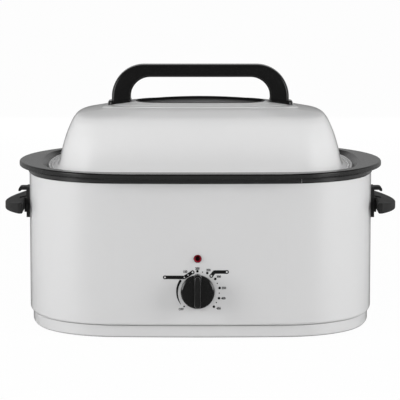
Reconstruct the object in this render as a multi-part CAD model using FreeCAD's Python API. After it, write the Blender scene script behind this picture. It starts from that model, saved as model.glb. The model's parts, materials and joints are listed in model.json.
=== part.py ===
import FreeCAD, Part

import math
import os

# Electric roaster oven.
# +X is the user's right, -Y is the front with the control knob, +Z is up.
# Every piece is drawn about the middle of the casing's plan; write_part moves it so that the
# origin lies under the middle of the whole object, on the surface that it stands on.
# Millimetres and degrees.

Vector = FreeCAD.Vector
Z_AXIS = Vector(0, 0, 1)
PARTS_FOLDER = "parts"

# ------------------------------------------------------------------ casing and base
casing_half_width = 266.0
casing_half_depth = 191.5
casing_corner_tightness = 55.0
casing_end_flatness = 121.5
casing_side_radius = 2500.0
casing_corner_radius = casing_half_depth - casing_corner_tightness
casing_end_radius = casing_half_depth + casing_end_flatness
casing_height = 226.2
casing_sheet = 1.0
casing_turn_in_radius = 4.5
lip_width = 11.0

foot_height = 3.0
foot_radius = 12.0
foot_recess_radius = 5.0
foot_recess_depth = 1.9
foot_place_x = 170.0
foot_place_y = 112.0
foot_screw_radius = 2.0
foot_screw_head_radius = 3.8
foot_screw_head_height = 1.4
foot_nut_radius = 3.6
foot_nut_height = 3.0

base_height = 18.6
base_step = 4.5
base_sheet = 1.0
base_corner_radius = 3.0
rivet_radius = 1.6
rivet_head_radius = 3.0
rivet_head_height = 1.0

# ------------------------------------------------------------------ rim of the casing
trim_sheet = 1.5
trim_height = 13.2
trim_lip_width = 4.0
trim_joint_x = 150.0
trim_joint_gap = 0.8

# ------------------------------------------------------------------ lid seat and pan
lid_edge_inside_casing_ends = 30.0
lid_edge_inside_casing_sides = 22.1
lid_edge_corner_tightness = 69.4
lid_edge_end_flatness = 320.6
lid_edge_side_radius = 2500.0
lid_edge_half_width = casing_half_width - lid_edge_inside_casing_ends
lid_edge_half_depth = casing_half_depth - lid_edge_inside_casing_sides
lid_edge_corner_radius = lid_edge_half_depth - lid_edge_corner_tightness
lid_edge_end_radius = lid_edge_half_depth + lid_edge_end_flatness

pan_sheet = 1.2
flange_overhang_ends = 15.5
flange_overhang_sides = 14.5
flange_corner_tightness = 36.0
flange_end_flatness = 24.0
flange_side_radius = 6000.0
flange_half_width = casing_half_width + flange_overhang_ends
flange_half_depth = casing_half_depth + flange_overhang_sides
flange_corner_radius = flange_half_depth - flange_corner_tightness
flange_end_radius = flange_half_depth + flange_end_flatness
flange_skirt_depth = 8.0
flange_edge_radius = 2.6
flange_hem_radius = 1.6
flange_hem_width = 3.4
seat_recess_depth = 8.0
seat_clearance = 1.0
seat_slope_width = 9.0
seat_ledge_width = 17.0
pan_depth = 188.5
pan_wall_draft = 13.0
pan_floor_radius = 18.0

# ------------------------------------------------------------------ cook well, heater and insulation
liner_sheet = 1.0
liner_wall_inset = 9.0
liner_flare_height = 22.0
deck_collar_height = 8.0
liner_seat_gap = 4.4
liner_rim_setback = 0.4
well_gap_under_pan = 9.0
liner_floor_radius = 12.0
heater_band_thickness = 3.0
heater_band_height = 46.0
heater_band_above_well = 60.0
insulation_thickness = 7.8
insulation_gap = 0.2
insulation_bottom_above_well = 6.0
insulation_top_below_rim = 24.0
control_bay_half_width = 56.0
control_bay_above_well = 92.0
terminal_stud_radius = 2.0
terminal_stud_length = 9.0
terminal_stud_spacing = 52.0

tie_rod_radius = 3.0
tie_rod_head_radius = 9.0
tie_rod_head_height = 2.0
tie_nut_radius = 5.5
tie_nut_height = 4.0
dimple_radius = 13.0
dimple_height = 5.0

# ------------------------------------------------------------------ lid
lid_sheet = 1.0
lid_bead_width = 5.4
lid_bead_height = 3.2
lid_flange_width = 17.0
# Level curves of the dome: height over the pan's seat, how far inside the lid's edge at the ends and at
# the sides, corner radius.
dome_levels = (
    (0.0, 14.0, 14.0, 86.0),
    (3.0, 16.4, 16.4, 84.0),
    (29.4, 22.0, 22.0, 80.0),
    (61.8, 33.2, 32.6, 74.0),
    (75.0, 40.2, 38.8, 72.0),
    (81.0, 46.0, 43.8, 71.0),
    (84.0, 53.5, 50.4, 70.0),
    (86.2, 64.5, 59.4, 68.0),
    (88.9, 78.5, 70.4, 66.0),
    (92.6, 91.5, 80.4, 63.0),
    (95.2, 108.0, 92.4, 58.0),
    (97.4, 122.0, 107.4, 50.0),
    (98.9, 132.0, 119.4, 42.0),
)
dome_side_ratio = 12.0
dome_end_ratio = 3.2

window_half_width = 97.0
window_half_depth = 42.0
window_corner_tightness = 8.0
window_end_flatness = 18.0
window_side_radius = 900.0
window_corner_radius = window_half_depth - window_corner_tightness
window_end_radius = window_half_depth + window_end_flatness
glass_thickness = 4.0
glass_crown_height = 6.4
glass_rise_along = 5.0
glass_rise_across = 5.0
gasket_width = 1.4
gasket_lip = 1.6
gasket_lip_height = 0.8

# ------------------------------------------------------------------ lid handle
handle_height = 56.7
handle_half_length = 137.3
handle_outer_radius = 50.0
handle_bar_height = 19.2
handle_leg_width = 29.3
handle_inner_radius = 30.5
handle_depth = 32.0
handle_edge_radius = 4.5
handle_foot_thickness = 4.6
handle_foot_overlap = 5.9
handle_foot_slope = 6.0
handle_screw_radius = 2.0
handle_screw_head_radius = 4.2
handle_screw_head_height = 2.4
handle_screw_length = 22.0
handle_washer_radius = 7.0
handle_washer_thickness = 1.0

# ------------------------------------------------------------------ side handles
bracket_height = 47.0
bracket_top_below_rim = 42.9
bracket_half_width = 18.0
bracket_thickness = 4.8
hook_reach = 17.7
hook_thickness = 5.2
hook_drop = 7.2
hook_half_width = 11.0
grip_reach = 38.6
grip_half_length = 76.0
grip_inner_gap = 7.0
grip_end_width = 6.5
grip_inner_height = 17.4
grip_outer_height = 11.5
grip_below_rim = 76.7
grip_corner_radius = 2.5
grip_edge_radius = 2.0
web_half_width = 18.0
web_drop = 5.0
slot_start = 1.5
slot_length = 10.0
slot_half_width = 9.0
slot_depth = 9.0
side_screw_radius = 2.0
side_screw_head_radius = 4.0
side_screw_head_height = 2.2
side_screw_depth = 8.0
side_screw_spacing = 24.0
backing_plate_thickness = 1.5
backing_plate_margin = 3.0

# ------------------------------------------------------------------ control
control_x = -4.0
knob_height = 74.1
knob_radius = 25.5
knob_skirt = 7.0
knob_reach = 22.0
knob_gap = 1.2
knob_bar_width = 9.0
knob_bar_inset = 2.5
knob_edge_radius = 1.6
knob_pocket_radius = 11.5
knob_pocket_depth = 5.2
pointer_width = 3.0
pointer_rise = 1.6
shaft_radius = 3.0
shaft_running_gap = 0.05
shaft_fit_gap = 0.03
shaft_flat_depth = 1.4
shaft_in_knob = 11.0
shaft_in_body = 8.0
knob_clip_width = 3.4
knob_clip_length = 8.0
knob_clip_sheet = 0.8
bushing_radius = 5.0
bushing_length = 5.0
bushing_hole_gap = 0.2
nut_across_corners = 16.0
nut_thickness = 2.6
thermostat_width = 38.0
thermostat_height = 32.0
thermostat_depth = 17.0
thermostat_edge = 2.0
bulb_radius = 2.4
bulb_length = 84.0
bulb_below_heater = 8.0
capillary_radius = 0.8
clip_width = 6.0
clip_sheet = 0.8

lamp_height = 123.5
lamp_lens_radius = 5.3
lamp_lens_rise = 2.6
lamp_flange_radius = 6.0
lamp_flange_thickness = 1.0
lamp_body_radius = 4.4
lamp_body_length = 15.0
lamp_hole_gap = 0.2
lamp_ring_radius = 7.5
lamp_ring_thickness = 1.0

# ------------------------------------------------------------------ supply side
terminal_block_width = 40.0
terminal_block_depth = 16.0
terminal_block_height = 14.0
terminal_block_y = 118.0
cord_bore_radius = 3.75
bushing_neck_radius = 6.2
cord_bushing_flange_radius = 9.5
cord_bushing_flange_thickness = 2.0
cord_bushing_height = 38.0
lead_radius = 1.3
lead_spacing = 16.0

# ------------------------------------------------------------------ roasting rack
rack_inside_lid_edge_ends = 52.0
rack_inside_lid_edge_sides = 57.4
rack_corner_tightness = 60.0
rack_end_flatness = 308.0
rack_side_radius = 1600.0
rack_half_width = lid_edge_half_width - rack_inside_lid_edge_ends
rack_half_depth = lid_edge_half_depth - rack_inside_lid_edge_sides
rack_corner_radius = rack_half_depth - rack_corner_tightness
rack_end_radius = rack_half_depth + rack_end_flatness
rack_frame_radius = 2.4
rack_rod_radius = 1.5
rack_leg_height = 14.0
rack_rod_pitch = 24.0
rack_handle_half_width = 46.0
rack_handle_rise = 34.0
rack_leg_place_x = 120.0
rack_pan_gap = 0.3

small_gap = 0.2


class Oval:
    """A plan outline of eight tangent arcs: two long sides, two ends and four corners."""

    def __init__(self, half_width, half_depth, corner_radius, side_radius, end_radius):
        self.half_width = half_width
        self.half_depth = half_depth
        self.corner_radius = corner_radius
        self.side_radius = side_radius
        self.end_radius = end_radius

    def grown(self, distance):
        """The parallel outline that lies this far outside, with the same arc centres."""
        return Oval(self.half_width + distance, self.half_depth + distance,
                    self.corner_radius + distance, self.side_radius + distance,
                    self.end_radius + distance)

    def corner_centre(self):
        side_y = self.half_depth - self.side_radius
        end_x = self.half_width - self.end_radius
        to_side = self.side_radius - self.corner_radius
        to_end = self.end_radius - self.corner_radius
        span = math.hypot(end_x, side_y)
        along = (span ** 2 + to_side ** 2 - to_end ** 2) / (2 * span)
        across = math.sqrt(to_side ** 2 - along ** 2)
        unit_x = end_x / span
        unit_y = -side_y / span
        first = (along * unit_x + across * unit_y, side_y + along * unit_y - across * unit_x)
        second = (along * unit_x - across * unit_y, side_y + along * unit_y + across * unit_x)
        return max(first, second, key=sum)

    def arcs(self):
        """Centre x, centre y, radius, start angle and sweep of each arc, anticlockwise."""
        corner_x, corner_y = self.corner_centre()
        side_y = self.half_depth - self.side_radius
        end_x = self.half_width - self.end_radius
        low = math.degrees(math.atan2(corner_y, corner_x - end_x))
        high = math.degrees(math.atan2(corner_y - side_y, corner_x))
        turn = high - low
        side_turn = 180 - 2 * high
        return [
            (end_x, 0, self.end_radius, -low, 2 * low),
            (corner_x, corner_y, self.corner_radius, low, turn),
            (0, side_y, self.side_radius, high, side_turn),
            (-corner_x, corner_y, self.corner_radius, 180 - high, turn),
            (-end_x, 0, self.end_radius, 180 - low, 2 * low),
            (-corner_x, -corner_y, self.corner_radius, 180 + low, turn),
            (0, -side_y, self.side_radius, 180 + high, side_turn),
            (corner_x, -corner_y, self.corner_radius, 360 - high, turn),
        ]

    def middles(self):
        """The middle point of each arc."""
        points = []
        for centre_x, centre_y, radius, start, sweep in self.arcs():
            angle = math.radians(start + sweep / 2)
            points.append((centre_x + radius * math.cos(angle), centre_y + radius * math.sin(angle)))
        return points

    def depth_at(self, x):
        """Half the outline's depth on the line at this x."""
        corner_x, corner_y = self.corner_centre()
        side_y = self.half_depth - self.side_radius
        touch_x = corner_x * self.side_radius / (self.side_radius - self.corner_radius)
        if abs(x) <= touch_x:
            return side_y + math.sqrt(self.side_radius ** 2 - x ** 2)
        return corner_y + math.sqrt(self.corner_radius ** 2 - (abs(x) - corner_x) ** 2)

    def width_at(self, y):
        """Half the outline's width on the line at this y."""
        corner_x, corner_y = self.corner_centre()
        end_x = self.half_width - self.end_radius
        touch_y = corner_y * self.end_radius / (self.end_radius - self.corner_radius)
        if abs(y) <= touch_y:
            return end_x + math.sqrt(self.end_radius ** 2 - y ** 2)
        return corner_x + math.sqrt(self.corner_radius ** 2 - (abs(y) - corner_y) ** 2)

    def wire(self, z):
        edges = []
        for centre_x, centre_y, radius, start, sweep in self.arcs():
            circle = Part.Circle(Vector(centre_x, centre_y, z), Z_AXIS, radius)
            edges.append(circle.toShape(math.radians(start), math.radians(start + sweep)))
        return Part.Wire(edges)

    def plate(self, z, thickness):
        return Part.Face(self.wire(z)).extrude(Vector(0, 0, thickness))


def rounded_wire(points):
    """A closed wire in the XZ plane through (x, z, corner radius) points."""
    count = len(points)
    starts = []
    ends = []
    for index, (x, z, radius) in enumerate(points):
        here = Vector(x, 0, z)
        before = Vector(points[index - 1][0], 0, points[index - 1][1]) - here
        after = Vector(points[(index + 1) % count][0], 0, points[(index + 1) % count][1]) - here
        if radius <= 0:
            starts.append(here)
            ends.append(here)
            continue
        half_angle = before.getAngle(after) / 2
        cut = radius / math.tan(half_angle)
        starts.append(here + before.normalize() * cut)
        ends.append(here + after.normalize() * cut)
    edges = []
    for index, (x, z, radius) in enumerate(points):
        if radius > 0:
            corner = Vector(x, 0, z)
            chord_middle = (starts[index] + ends[index]) * 0.5
            inward = (chord_middle - corner).normalize()
            half_chord = starts[index].distanceToPoint(ends[index]) / 2
            to_centre = corner.distanceToPoint(chord_middle) + math.sqrt(radius ** 2 - half_chord ** 2)
            middle = corner + inward * (to_centre - radius)
            edges.append(Part.Arc(starts[index], middle, ends[index]).toShape())
        following = starts[(index + 1) % count]
        if ends[index].distanceToPoint(following) > 1e-6:
            edges.append(Part.LineSegment(ends[index], following).toShape())
    return Part.Wire(edges)


def parallel_path(path, distance):
    """The path that lies this far to the left, with corner radii that share their centres."""
    moved = []
    last = len(path) - 1
    for index, (x, z, radius) in enumerate(path):
        here = Vector(x, 0, z)
        before = Vector(path[max(index - 1, 0)][0], 0, path[max(index - 1, 0)][1])
        after = Vector(path[min(index + 1, last)][0], 0, path[min(index + 1, last)][1])
        way_in = (here - before) if index > 0 else (after - here)
        way_out = (after - here) if index < last else (here - before)
        way_in.normalize()
        way_out.normalize()
        normal_in = Vector(-way_in.z, 0, way_in.x)
        normal_out = Vector(-way_out.z, 0, way_out.x)
        shift = (normal_in + normal_out) * (distance / (1 + normal_in.dot(normal_out)))
        turns_left = way_in.x * way_out.z - way_in.z * way_out.x > 0
        new_radius = 0
        if radius > 0:
            new_radius = radius - distance if turns_left else radius + distance
        moved.append((x + shift.x, z + shift.z, max(new_radius, 0)))
    return moved


def sheet_points(path, thickness):
    """The closed section of a sheet whose one face is the path and whose other is to its left."""
    full_path = [point if len(point) == 3 else (point[0], point[1], 0) for point in path]
    return full_path + list(reversed(parallel_path(full_path, thickness)))


def ring(oval, make_face):
    """A section face, made by make_face(radius) in the XZ plane, carried round an oval."""
    pieces = []
    for centre_x, centre_y, radius, start, sweep in oval.arcs():
        face = make_face(radius)
        face.rotate(Vector(0, 0, 0), Z_AXIS, start)
        face.translate(Vector(centre_x, centre_y, 0))
        pieces.append(face.revolve(Vector(centre_x, centre_y, 0), Z_AXIS, sweep))
    return pieces[0].multiFuse(pieces[1:]).removeSplitter()


def section_ring(oval, points):
    """A ring whose section goes through (distance outside the oval, z, corner radius) points."""
    full_points = [point if len(point) == 3 else (point[0], point[1], 0) for point in points]

    def make_face(radius):
        return Part.Face(rounded_wire([(radius + s, z, corner) for s, z, corner in full_points]))

    return ring(oval, make_face)


def wire_ring(oval, z, wire_radius):
    """A round wire bent to an oval."""
    def make_face(radius):
        circle = Part.Circle(Vector(radius, 0, z), Vector(0, 1, 0), wire_radius)
        return Part.Face(Part.Wire(circle.toShape()))

    return ring(oval, make_face)


def fused(shapes):
    return shapes[0].multiFuse(shapes[1:]).removeSplitter()


def box(low, high):
    size = Vector(*high) - Vector(*low)
    return Part.makeBox(size.x, size.y, size.z, Vector(*low))


def rod(start, end, radius):
    way = Vector(*end) - Vector(*start)
    return Part.makeCylinder(radius, way.Length, Vector(*start), way)


def control_rod(start_y, end_y, z, radius):
    """A rod from front to back through the control's upright line."""
    return rod((control_x, start_y, z), (control_x, end_y, z), radius)


def hexagon(centre, axis, across_corners, height):
    """A hexagonal prism along an axis."""
    ring_points = []
    for step in range(7):
        angle = math.radians(60 * step)
        ring_points.append(Vector(across_corners / 2 * math.cos(angle),
                                  across_corners / 2 * math.sin(angle), 0))
    prism = Part.Face(Part.makePolygon(ring_points)).extrude(Vector(0, 0, height))
    prism.Placement = FreeCAD.Placement(Vector(*centre), FreeCAD.Rotation(Z_AXIS, Vector(*axis)))
    return prism


def tube(points, radius, bend_radius):
    """A round rod or wire along straight runs joined by tangent arcs."""
    corners = [Vector(*point) for point in points]
    edges = []
    here = corners[0]
    for index in range(1, len(corners) - 1):
        corner = corners[index]
        back = (corners[index - 1] - corner).normalize()
        onward = (corners[index + 1] - corner).normalize()
        half_angle = back.getAngle(onward) / 2
        cut = bend_radius / math.tan(half_angle)
        start = corner + back * cut
        end = corner + onward * cut
        inward = (back + onward).normalize()
        middle = corner + inward * (bend_radius / math.sin(half_angle) - bend_radius)
        edges.append(Part.LineSegment(here, start).toShape())
        edges.append(Part.Arc(start, middle, end).toShape())
        here = end
    edges.append(Part.LineSegment(here, corners[-1]).toShape())
    path = Part.Wire(edges)
    circle = Part.Circle(corners[0], corners[1] - corners[0], radius)
    return path.makePipeShell([Part.Wire(circle.toShape())], True, True)


def mirrored(shape):
    return shape.mirror(Vector(0, 0, 0), Vector(1, 0, 0))


# ------------------------------------------------------------------ derived places
seam_z = foot_height + base_height
casing_top_z = seam_z + casing_height
trim_top_z = casing_top_z + trim_sheet
rim_top_z = trim_top_z + liner_sheet
flange_top_z = rim_top_z + pan_sheet
seat_z = flange_top_z - seat_recess_depth
pan_floor_z = seat_z - pan_depth
rack_frame_z = pan_floor_z + rack_pan_gap + rack_leg_height
well_floor_z = pan_floor_z - pan_sheet - well_gap_under_pan - liner_sheet
base_floor_top_z = foot_height + base_sheet
panel_y = -casing_half_depth
inner_panel_y = panel_y + casing_sheet
knob_front_y = panel_y - knob_reach

casing_oval = Oval(casing_half_width, casing_half_depth, casing_corner_radius,
                   casing_side_radius, casing_end_radius)
lid_oval = Oval(lid_edge_half_width, lid_edge_half_depth, lid_edge_corner_radius,
                lid_edge_side_radius, lid_edge_end_radius)
flange_oval = Oval(flange_half_width, flange_half_depth, flange_corner_radius,
                   flange_side_radius, flange_end_radius)
window_oval = Oval(window_half_width, window_half_depth, window_corner_radius,
                   window_side_radius, window_end_radius)
rack_oval = Oval(rack_half_width, rack_half_depth, rack_corner_radius,
                 rack_side_radius, rack_end_radius)

deck_seam_z = rim_top_z - liner_flare_height - deck_collar_height
liner_outer_s = liner_sheet - liner_wall_inset
heater_outer_s = liner_outer_s + heater_band_thickness
insulation_inner_s = heater_outer_s + insulation_gap
heater_low_z = well_floor_z + heater_band_above_well
liner_front_y = -(lid_edge_half_depth + liner_outer_s)
heater_front_y = -(lid_edge_half_depth + heater_outer_s)

bracket_top_z = flange_top_z - bracket_top_below_rim
bracket_low_z = bracket_top_z - bracket_height
grip_low_z = flange_top_z - grip_below_rim
web_middle_z = grip_low_z + grip_inner_height / 2

dome_top_z = seat_z + dome_levels[-1][0]
handle_top_z = dome_top_z + handle_height
handle_underside_z = handle_top_z - handle_bar_height
handle_leg_x = handle_half_length - handle_leg_width / 2

stand_shift_y = (-knob_front_y - flange_half_depth) / 2


# ------------------------------------------------------------------ base and casing
def foot_places():
    return [(side_x * foot_place_x, side_y * foot_place_y) for side_x in (-1, 1) for side_y in (-1, 1)]


def make_casing_shell():
    path = [
        (0, casing_top_z),
        (0, seam_z, casing_turn_in_radius),
        (-base_step - lip_width, seam_z),
    ]
    shell = section_ring(casing_oval, sheet_points(path, -casing_sheet))
    holes = [
        control_rod(panel_y - 1, panel_y + 3, knob_height, bushing_radius + bushing_hole_gap),
        control_rod(panel_y - 1, panel_y + 3, lamp_height, lamp_body_radius + lamp_hole_gap),
        rod((0, -panel_y + 1, cord_bushing_height), (0, -panel_y - 3, cord_bushing_height),
            bushing_neck_radius),
    ]
    holes += rivet_shanks()
    for side in (-1, 1):
        holes += side_screw_shanks(side)
    return shell.cut(Part.makeCompound(holes))


def make_base_pan():
    path = [
        (-base_step - lip_width, seam_z),
        (-base_step, seam_z, base_sheet),
        (-base_step, foot_height, base_corner_radius),
        (-base_step - lip_width, foot_height),
    ]
    wall = section_ring(casing_oval, sheet_points(path, -base_sheet))
    floor_oval = casing_oval.grown(-base_step - lip_width + 2)
    floor = floor_oval.plate(foot_height, base_sheet)
    dimple = Part.makeCone(dimple_radius + dimple_height, dimple_radius, dimple_height + base_sheet,
                           Vector(0, 0, foot_height))
    hollow = Part.makeCone(dimple_radius + dimple_height, dimple_radius, dimple_height + base_sheet,
                           Vector(0, 0, foot_height - base_sheet))
    pan = fused([wall, floor, dimple]).cut(hollow)
    holes = [rod((0, 0, foot_height), (0, 0, foot_height + 2 * dimple_height), tie_rod_radius)]
    for x, y in foot_places():
        holes.append(rod((x, y, 0), (x, y, base_floor_top_z + 1), foot_screw_radius))
    return pan.cut(Part.makeCompound(holes + rivet_shanks()))


def rivet_shanks():
    places = casing_oval.grown(-base_step - lip_width / 2).middles()
    return [rod((x, y, seam_z - base_sheet), (x, y, seam_z + casing_sheet), rivet_radius) for x, y in places]


def make_seam_rivets():
    rivets = []
    for shank in rivet_shanks():
        centre = shank.CenterOfMass
        low_z = seam_z - base_sheet
        high_z = seam_z + casing_sheet
        low_head = rod((centre.x, centre.y, low_z - rivet_head_height), (centre.x, centre.y, low_z),
                       rivet_head_radius)
        high_head = rod((centre.x, centre.y, high_z), (centre.x, centre.y, high_z + rivet_head_height),
                        rivet_head_radius)
        rivets.append(fused([shank, low_head, high_head]))
    return Part.makeCompound(rivets)


def make_feet():
    feet = []
    for x, y in foot_places():
        foot = Part.makeCone(foot_radius - 1, foot_radius, foot_height, Vector(x, y, 0))
        recess = rod((x, y, 0), (x, y, foot_recess_depth), foot_recess_radius)
        hole = rod((x, y, 0), (x, y, foot_height), foot_screw_radius)
        feet.append(foot.cut(recess).cut(hole))
    return Part.makeCompound(feet)


def make_foot_screws():
    screws = []
    for x, y in foot_places():
        head_low_z = foot_recess_depth - foot_screw_head_height
        head = rod((x, y, head_low_z), (x, y, foot_recess_depth), foot_screw_head_radius)
        shank = rod((x, y, foot_recess_depth), (x, y, base_floor_top_z + foot_nut_height + 1), foot_screw_radius)
        screws.append(fused([head, shank]))
    return Part.makeCompound(screws)


def make_foot_nuts():
    nuts = []
    for x, y in foot_places():
        nut = hexagon((x, y, base_floor_top_z), (0, 0, 1), 2 * foot_nut_radius, foot_nut_height)
        bore = rod((x, y, base_floor_top_z), (x, y, base_floor_top_z + foot_nut_height), foot_screw_radius)
        nuts.append(nut.cut(bore))
    return Part.makeCompound(nuts)


def make_rim_trim():
    """The black band round the casing's top edge, with the joint where its ends meet."""
    points = [
        (-trim_lip_width, casing_top_z),
        (0, casing_top_z),
        (0, trim_top_z - trim_height),
        (trim_sheet, trim_top_z - trim_height),
        (trim_sheet, trim_top_z, 1.2),
        (-trim_lip_width, trim_top_z),
    ]
    band = section_ring(casing_oval, points)
    front_y = -casing_oval.depth_at(trim_joint_x)
    joint = box((trim_joint_x, front_y - 3, trim_top_z - trim_height - 1),
                (trim_joint_x + trim_joint_gap, front_y + 12, trim_top_z + 1))
    return band.cut(joint)


# ------------------------------------------------------------------ cook well
def make_cook_well():
    path = [
        (-liner_wall_inset, deck_seam_z),
        (-liner_wall_inset, well_floor_z + liner_sheet, liner_floor_radius),
        (-liner_wall_inset - liner_floor_radius - 4, well_floor_z + liner_sheet),
    ]
    wall = section_ring(lid_oval, sheet_points(path, liner_sheet))
    floor = lid_oval.grown(-liner_wall_inset - liner_floor_radius - 2).plate(well_floor_z, liner_sheet)
    return fused([wall, floor])


def make_deck_ring():
    """The pressed ring that closes the top between the casing and the well, seam-welded to the well."""
    flare_s = seat_clearance + seat_slope_width + liner_seat_gap
    path = [
        (flare_s + 4, rim_top_z),
        (flare_s, rim_top_z, 3.0),
        (-liner_wall_inset, rim_top_z - liner_flare_height, 6.0),
        (-liner_wall_inset, deck_seam_z),
    ]
    flare = section_ring(lid_oval, sheet_points(path, liner_sheet))
    rim = casing_oval.grown(-liner_rim_setback).plate(trim_top_z, liner_sheet)
    rim = rim.cut(lid_oval.grown(flare_s + 3).plate(trim_top_z, liner_sheet))
    return fused([flare, rim])


def make_heater_band():
    points = [
        (liner_outer_s, heater_low_z),
        (heater_outer_s, heater_low_z, 1.0),
        (heater_outer_s, heater_low_z + heater_band_height, 1.0),
        (liner_outer_s, heater_low_z + heater_band_height),
    ]
    return section_ring(lid_oval, points)


def stud_places():
    stud_z = heater_low_z + 8
    return [(side * terminal_stud_spacing / 2, stud_z) for side in (-1, 1)]


def make_heater_terminals():
    studs = []
    for x, z in stud_places():
        start_y = -lid_oval.grown(heater_outer_s).depth_at(x)
        stud = rod((x, start_y, z), (x, start_y - terminal_stud_length, z), terminal_stud_radius)
        collar = rod((x, start_y, z), (x, start_y - 2, z), 2 * terminal_stud_radius)
        studs.append(fused([stud, collar]).cut(make_heater_core()))
    return Part.makeCompound(studs)


def make_heater_core():
    return lid_oval.grown(heater_outer_s).plate(heater_low_z, heater_band_height)


def make_insulation():
    low_z = well_floor_z + insulation_bottom_above_well
    high_z = rim_top_z - insulation_top_below_rim
    outer_s = insulation_inner_s + insulation_thickness
    points = [
        (insulation_inner_s, low_z),
        (outer_s, low_z, 2.0),
        (outer_s, high_z, 2.0),
        (insulation_inner_s, high_z),
    ]
    blanket = section_ring(lid_oval, points)
    bay = box((-control_bay_half_width, panel_y, low_z - 1),
              (control_bay_half_width, 0, well_floor_z + control_bay_above_well))
    return blanket.cut(bay)


def make_tie_rod():
    head = rod((0, 0, well_floor_z - tie_rod_head_height), (0, 0, well_floor_z), tie_rod_head_radius)
    low_z = foot_height + dimple_height - tie_nut_height
    shank = rod((0, 0, low_z), (0, 0, well_floor_z - tie_rod_head_height), tie_rod_radius)
    return fused([head, shank])


def make_tie_nut():
    top_z = foot_height + dimple_height
    nut = hexagon((0, 0, top_z - tie_nut_height), (0, 0, 1), 2 * tie_nut_radius, tie_nut_height)
    return nut.cut(rod((0, 0, 0), (0, 0, top_z), tie_rod_radius))


# ------------------------------------------------------------------ pan, rack
def make_roasting_pan():
    slope_s = seat_clearance + seat_slope_width
    floor_s = -seat_ledge_width - pan_wall_draft
    path = [
        (slope_s + 2, flange_top_z),
        (slope_s, flange_top_z, 2.4),
        (seat_clearance, seat_z, 1.6),
        (-seat_ledge_width + seat_clearance, seat_z, 3.0),
        (floor_s, pan_floor_z, pan_floor_radius),
        (floor_s - pan_floor_radius - 4, pan_floor_z),
    ]
    body = section_ring(lid_oval, sheet_points(path, pan_sheet))
    flange = flange_oval.grown(-flange_edge_radius - 1).plate(rim_top_z, pan_sheet)
    flange = flange.cut(lid_oval.grown(slope_s + 1).plate(rim_top_z, pan_sheet))
    hem_z = flange_top_z - flange_skirt_depth
    hem_path = [
        (-flange_edge_radius - 2, flange_top_z),
        (0, flange_top_z, flange_edge_radius),
        (0, hem_z, flange_hem_radius),
        (-flange_hem_width, hem_z),
    ]
    hem = section_ring(flange_oval, sheet_points(hem_path, -pan_sheet))
    floor = lid_oval.grown(floor_s - pan_floor_radius - 2).plate(pan_floor_z - pan_sheet, pan_sheet)
    return fused([body, flange, hem, floor])


def make_roasting_rack():
    """The flat grid: an oval frame, thin rods and the two thick bars over the legs."""
    pieces = [wire_ring(rack_oval, rack_frame_z, rack_frame_radius)]
    rod_count = int(2 * rack_half_width / rack_rod_pitch)
    first_x = -rack_rod_pitch * (rod_count - 1) / 2
    for index in range(rod_count):
        x = first_x + index * rack_rod_pitch
        reach = rack_oval.depth_at(x)
        pieces.append(rod((x, -reach, rack_frame_z), (x, reach, rack_frame_z), rack_rod_radius))
    for side in (-1, 1):
        x = side * rack_leg_place_x
        reach = rack_oval.depth_at(x)
        pieces.append(rod((x, -reach, rack_frame_z), (x, reach, rack_frame_z), rack_frame_radius))
    return fused(pieces)


def make_rack_legs():
    """A wire skid under each thick bar, butt-welded to it."""
    leg_low_z = pan_floor_z + rack_pan_gap + rack_frame_radius
    leg_y = rack_half_depth / 2
    legs = []
    for side in (-1, 1):
        x = side * rack_leg_place_x
        leg = tube([(x, -leg_y, rack_frame_z), (x, -leg_y, leg_low_z), (x, leg_y, leg_low_z),
                    (x, leg_y, rack_frame_z)], rack_frame_radius, 2 * rack_frame_radius)
        bar = rod((x, -rack_half_depth, rack_frame_z), (x, rack_half_depth, rack_frame_z), rack_frame_radius)
        legs.append(leg.cut(bar))
    return Part.makeCompound(legs)


def make_rack_loops():
    """The lifting loop at each end, butt-welded to the frame."""
    grid = make_roasting_rack()
    top_z = rack_frame_z + rack_handle_rise
    loops = []
    for side in (-1, 1):
        loop_x = side * (rack_oval.width_at(rack_handle_half_width) - rack_frame_radius)
        loop = tube([(loop_x, -rack_handle_half_width, rack_frame_z), (loop_x, -rack_handle_half_width, top_z),
                     (loop_x, rack_handle_half_width, top_z), (loop_x, rack_handle_half_width, rack_frame_z)],
                    rack_frame_radius, 4 * rack_frame_radius)
        loops.append(loop.cut(grid))
    return Part.makeCompound(loops)


# ------------------------------------------------------------------ lid
def level_oval(half_width, half_depth, corner_radius):
    return Oval(half_width, half_depth, corner_radius, dome_side_ratio * half_width, dome_end_ratio * half_depth)


def dome_solid(sheet):
    """The smooth solid through the level curves, drawn in by a sheet thickness."""
    wires = []
    for height, inset_ends, inset_sides, corner_radius in dome_levels:
        oval = level_oval(lid_edge_half_width - inset_ends - sheet, lid_edge_half_depth - inset_sides - sheet,
                          corner_radius - sheet)
        wires.append(oval.wire(seat_z + height - sheet))
    return Part.makeLoft(wires, True, False)


def make_lid_shell():
    inside = dome_solid(lid_sheet)
    dome = dome_solid(0).cut(inside)
    top_z = seat_z + lid_bead_height
    points = [
        (-lid_flange_width - 2, seat_z),
        (0, seat_z, 0.4),
        (0, top_z, 2.2),
        (-lid_bead_width, top_z, 2.2),
        (-lid_bead_width, seat_z + lid_sheet),
        (-lid_flange_width - 2, seat_z + lid_sheet),
    ]
    flange = section_ring(lid_oval, points)
    flange = flange.cut(inside)
    opening = window_oval.grown(gasket_width).plate(dome_top_z - 20, 40)
    shell = fused([dome, flange]).cut(opening)
    return shell.cut(Part.makeCompound(lid_screw_shanks()))


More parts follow.
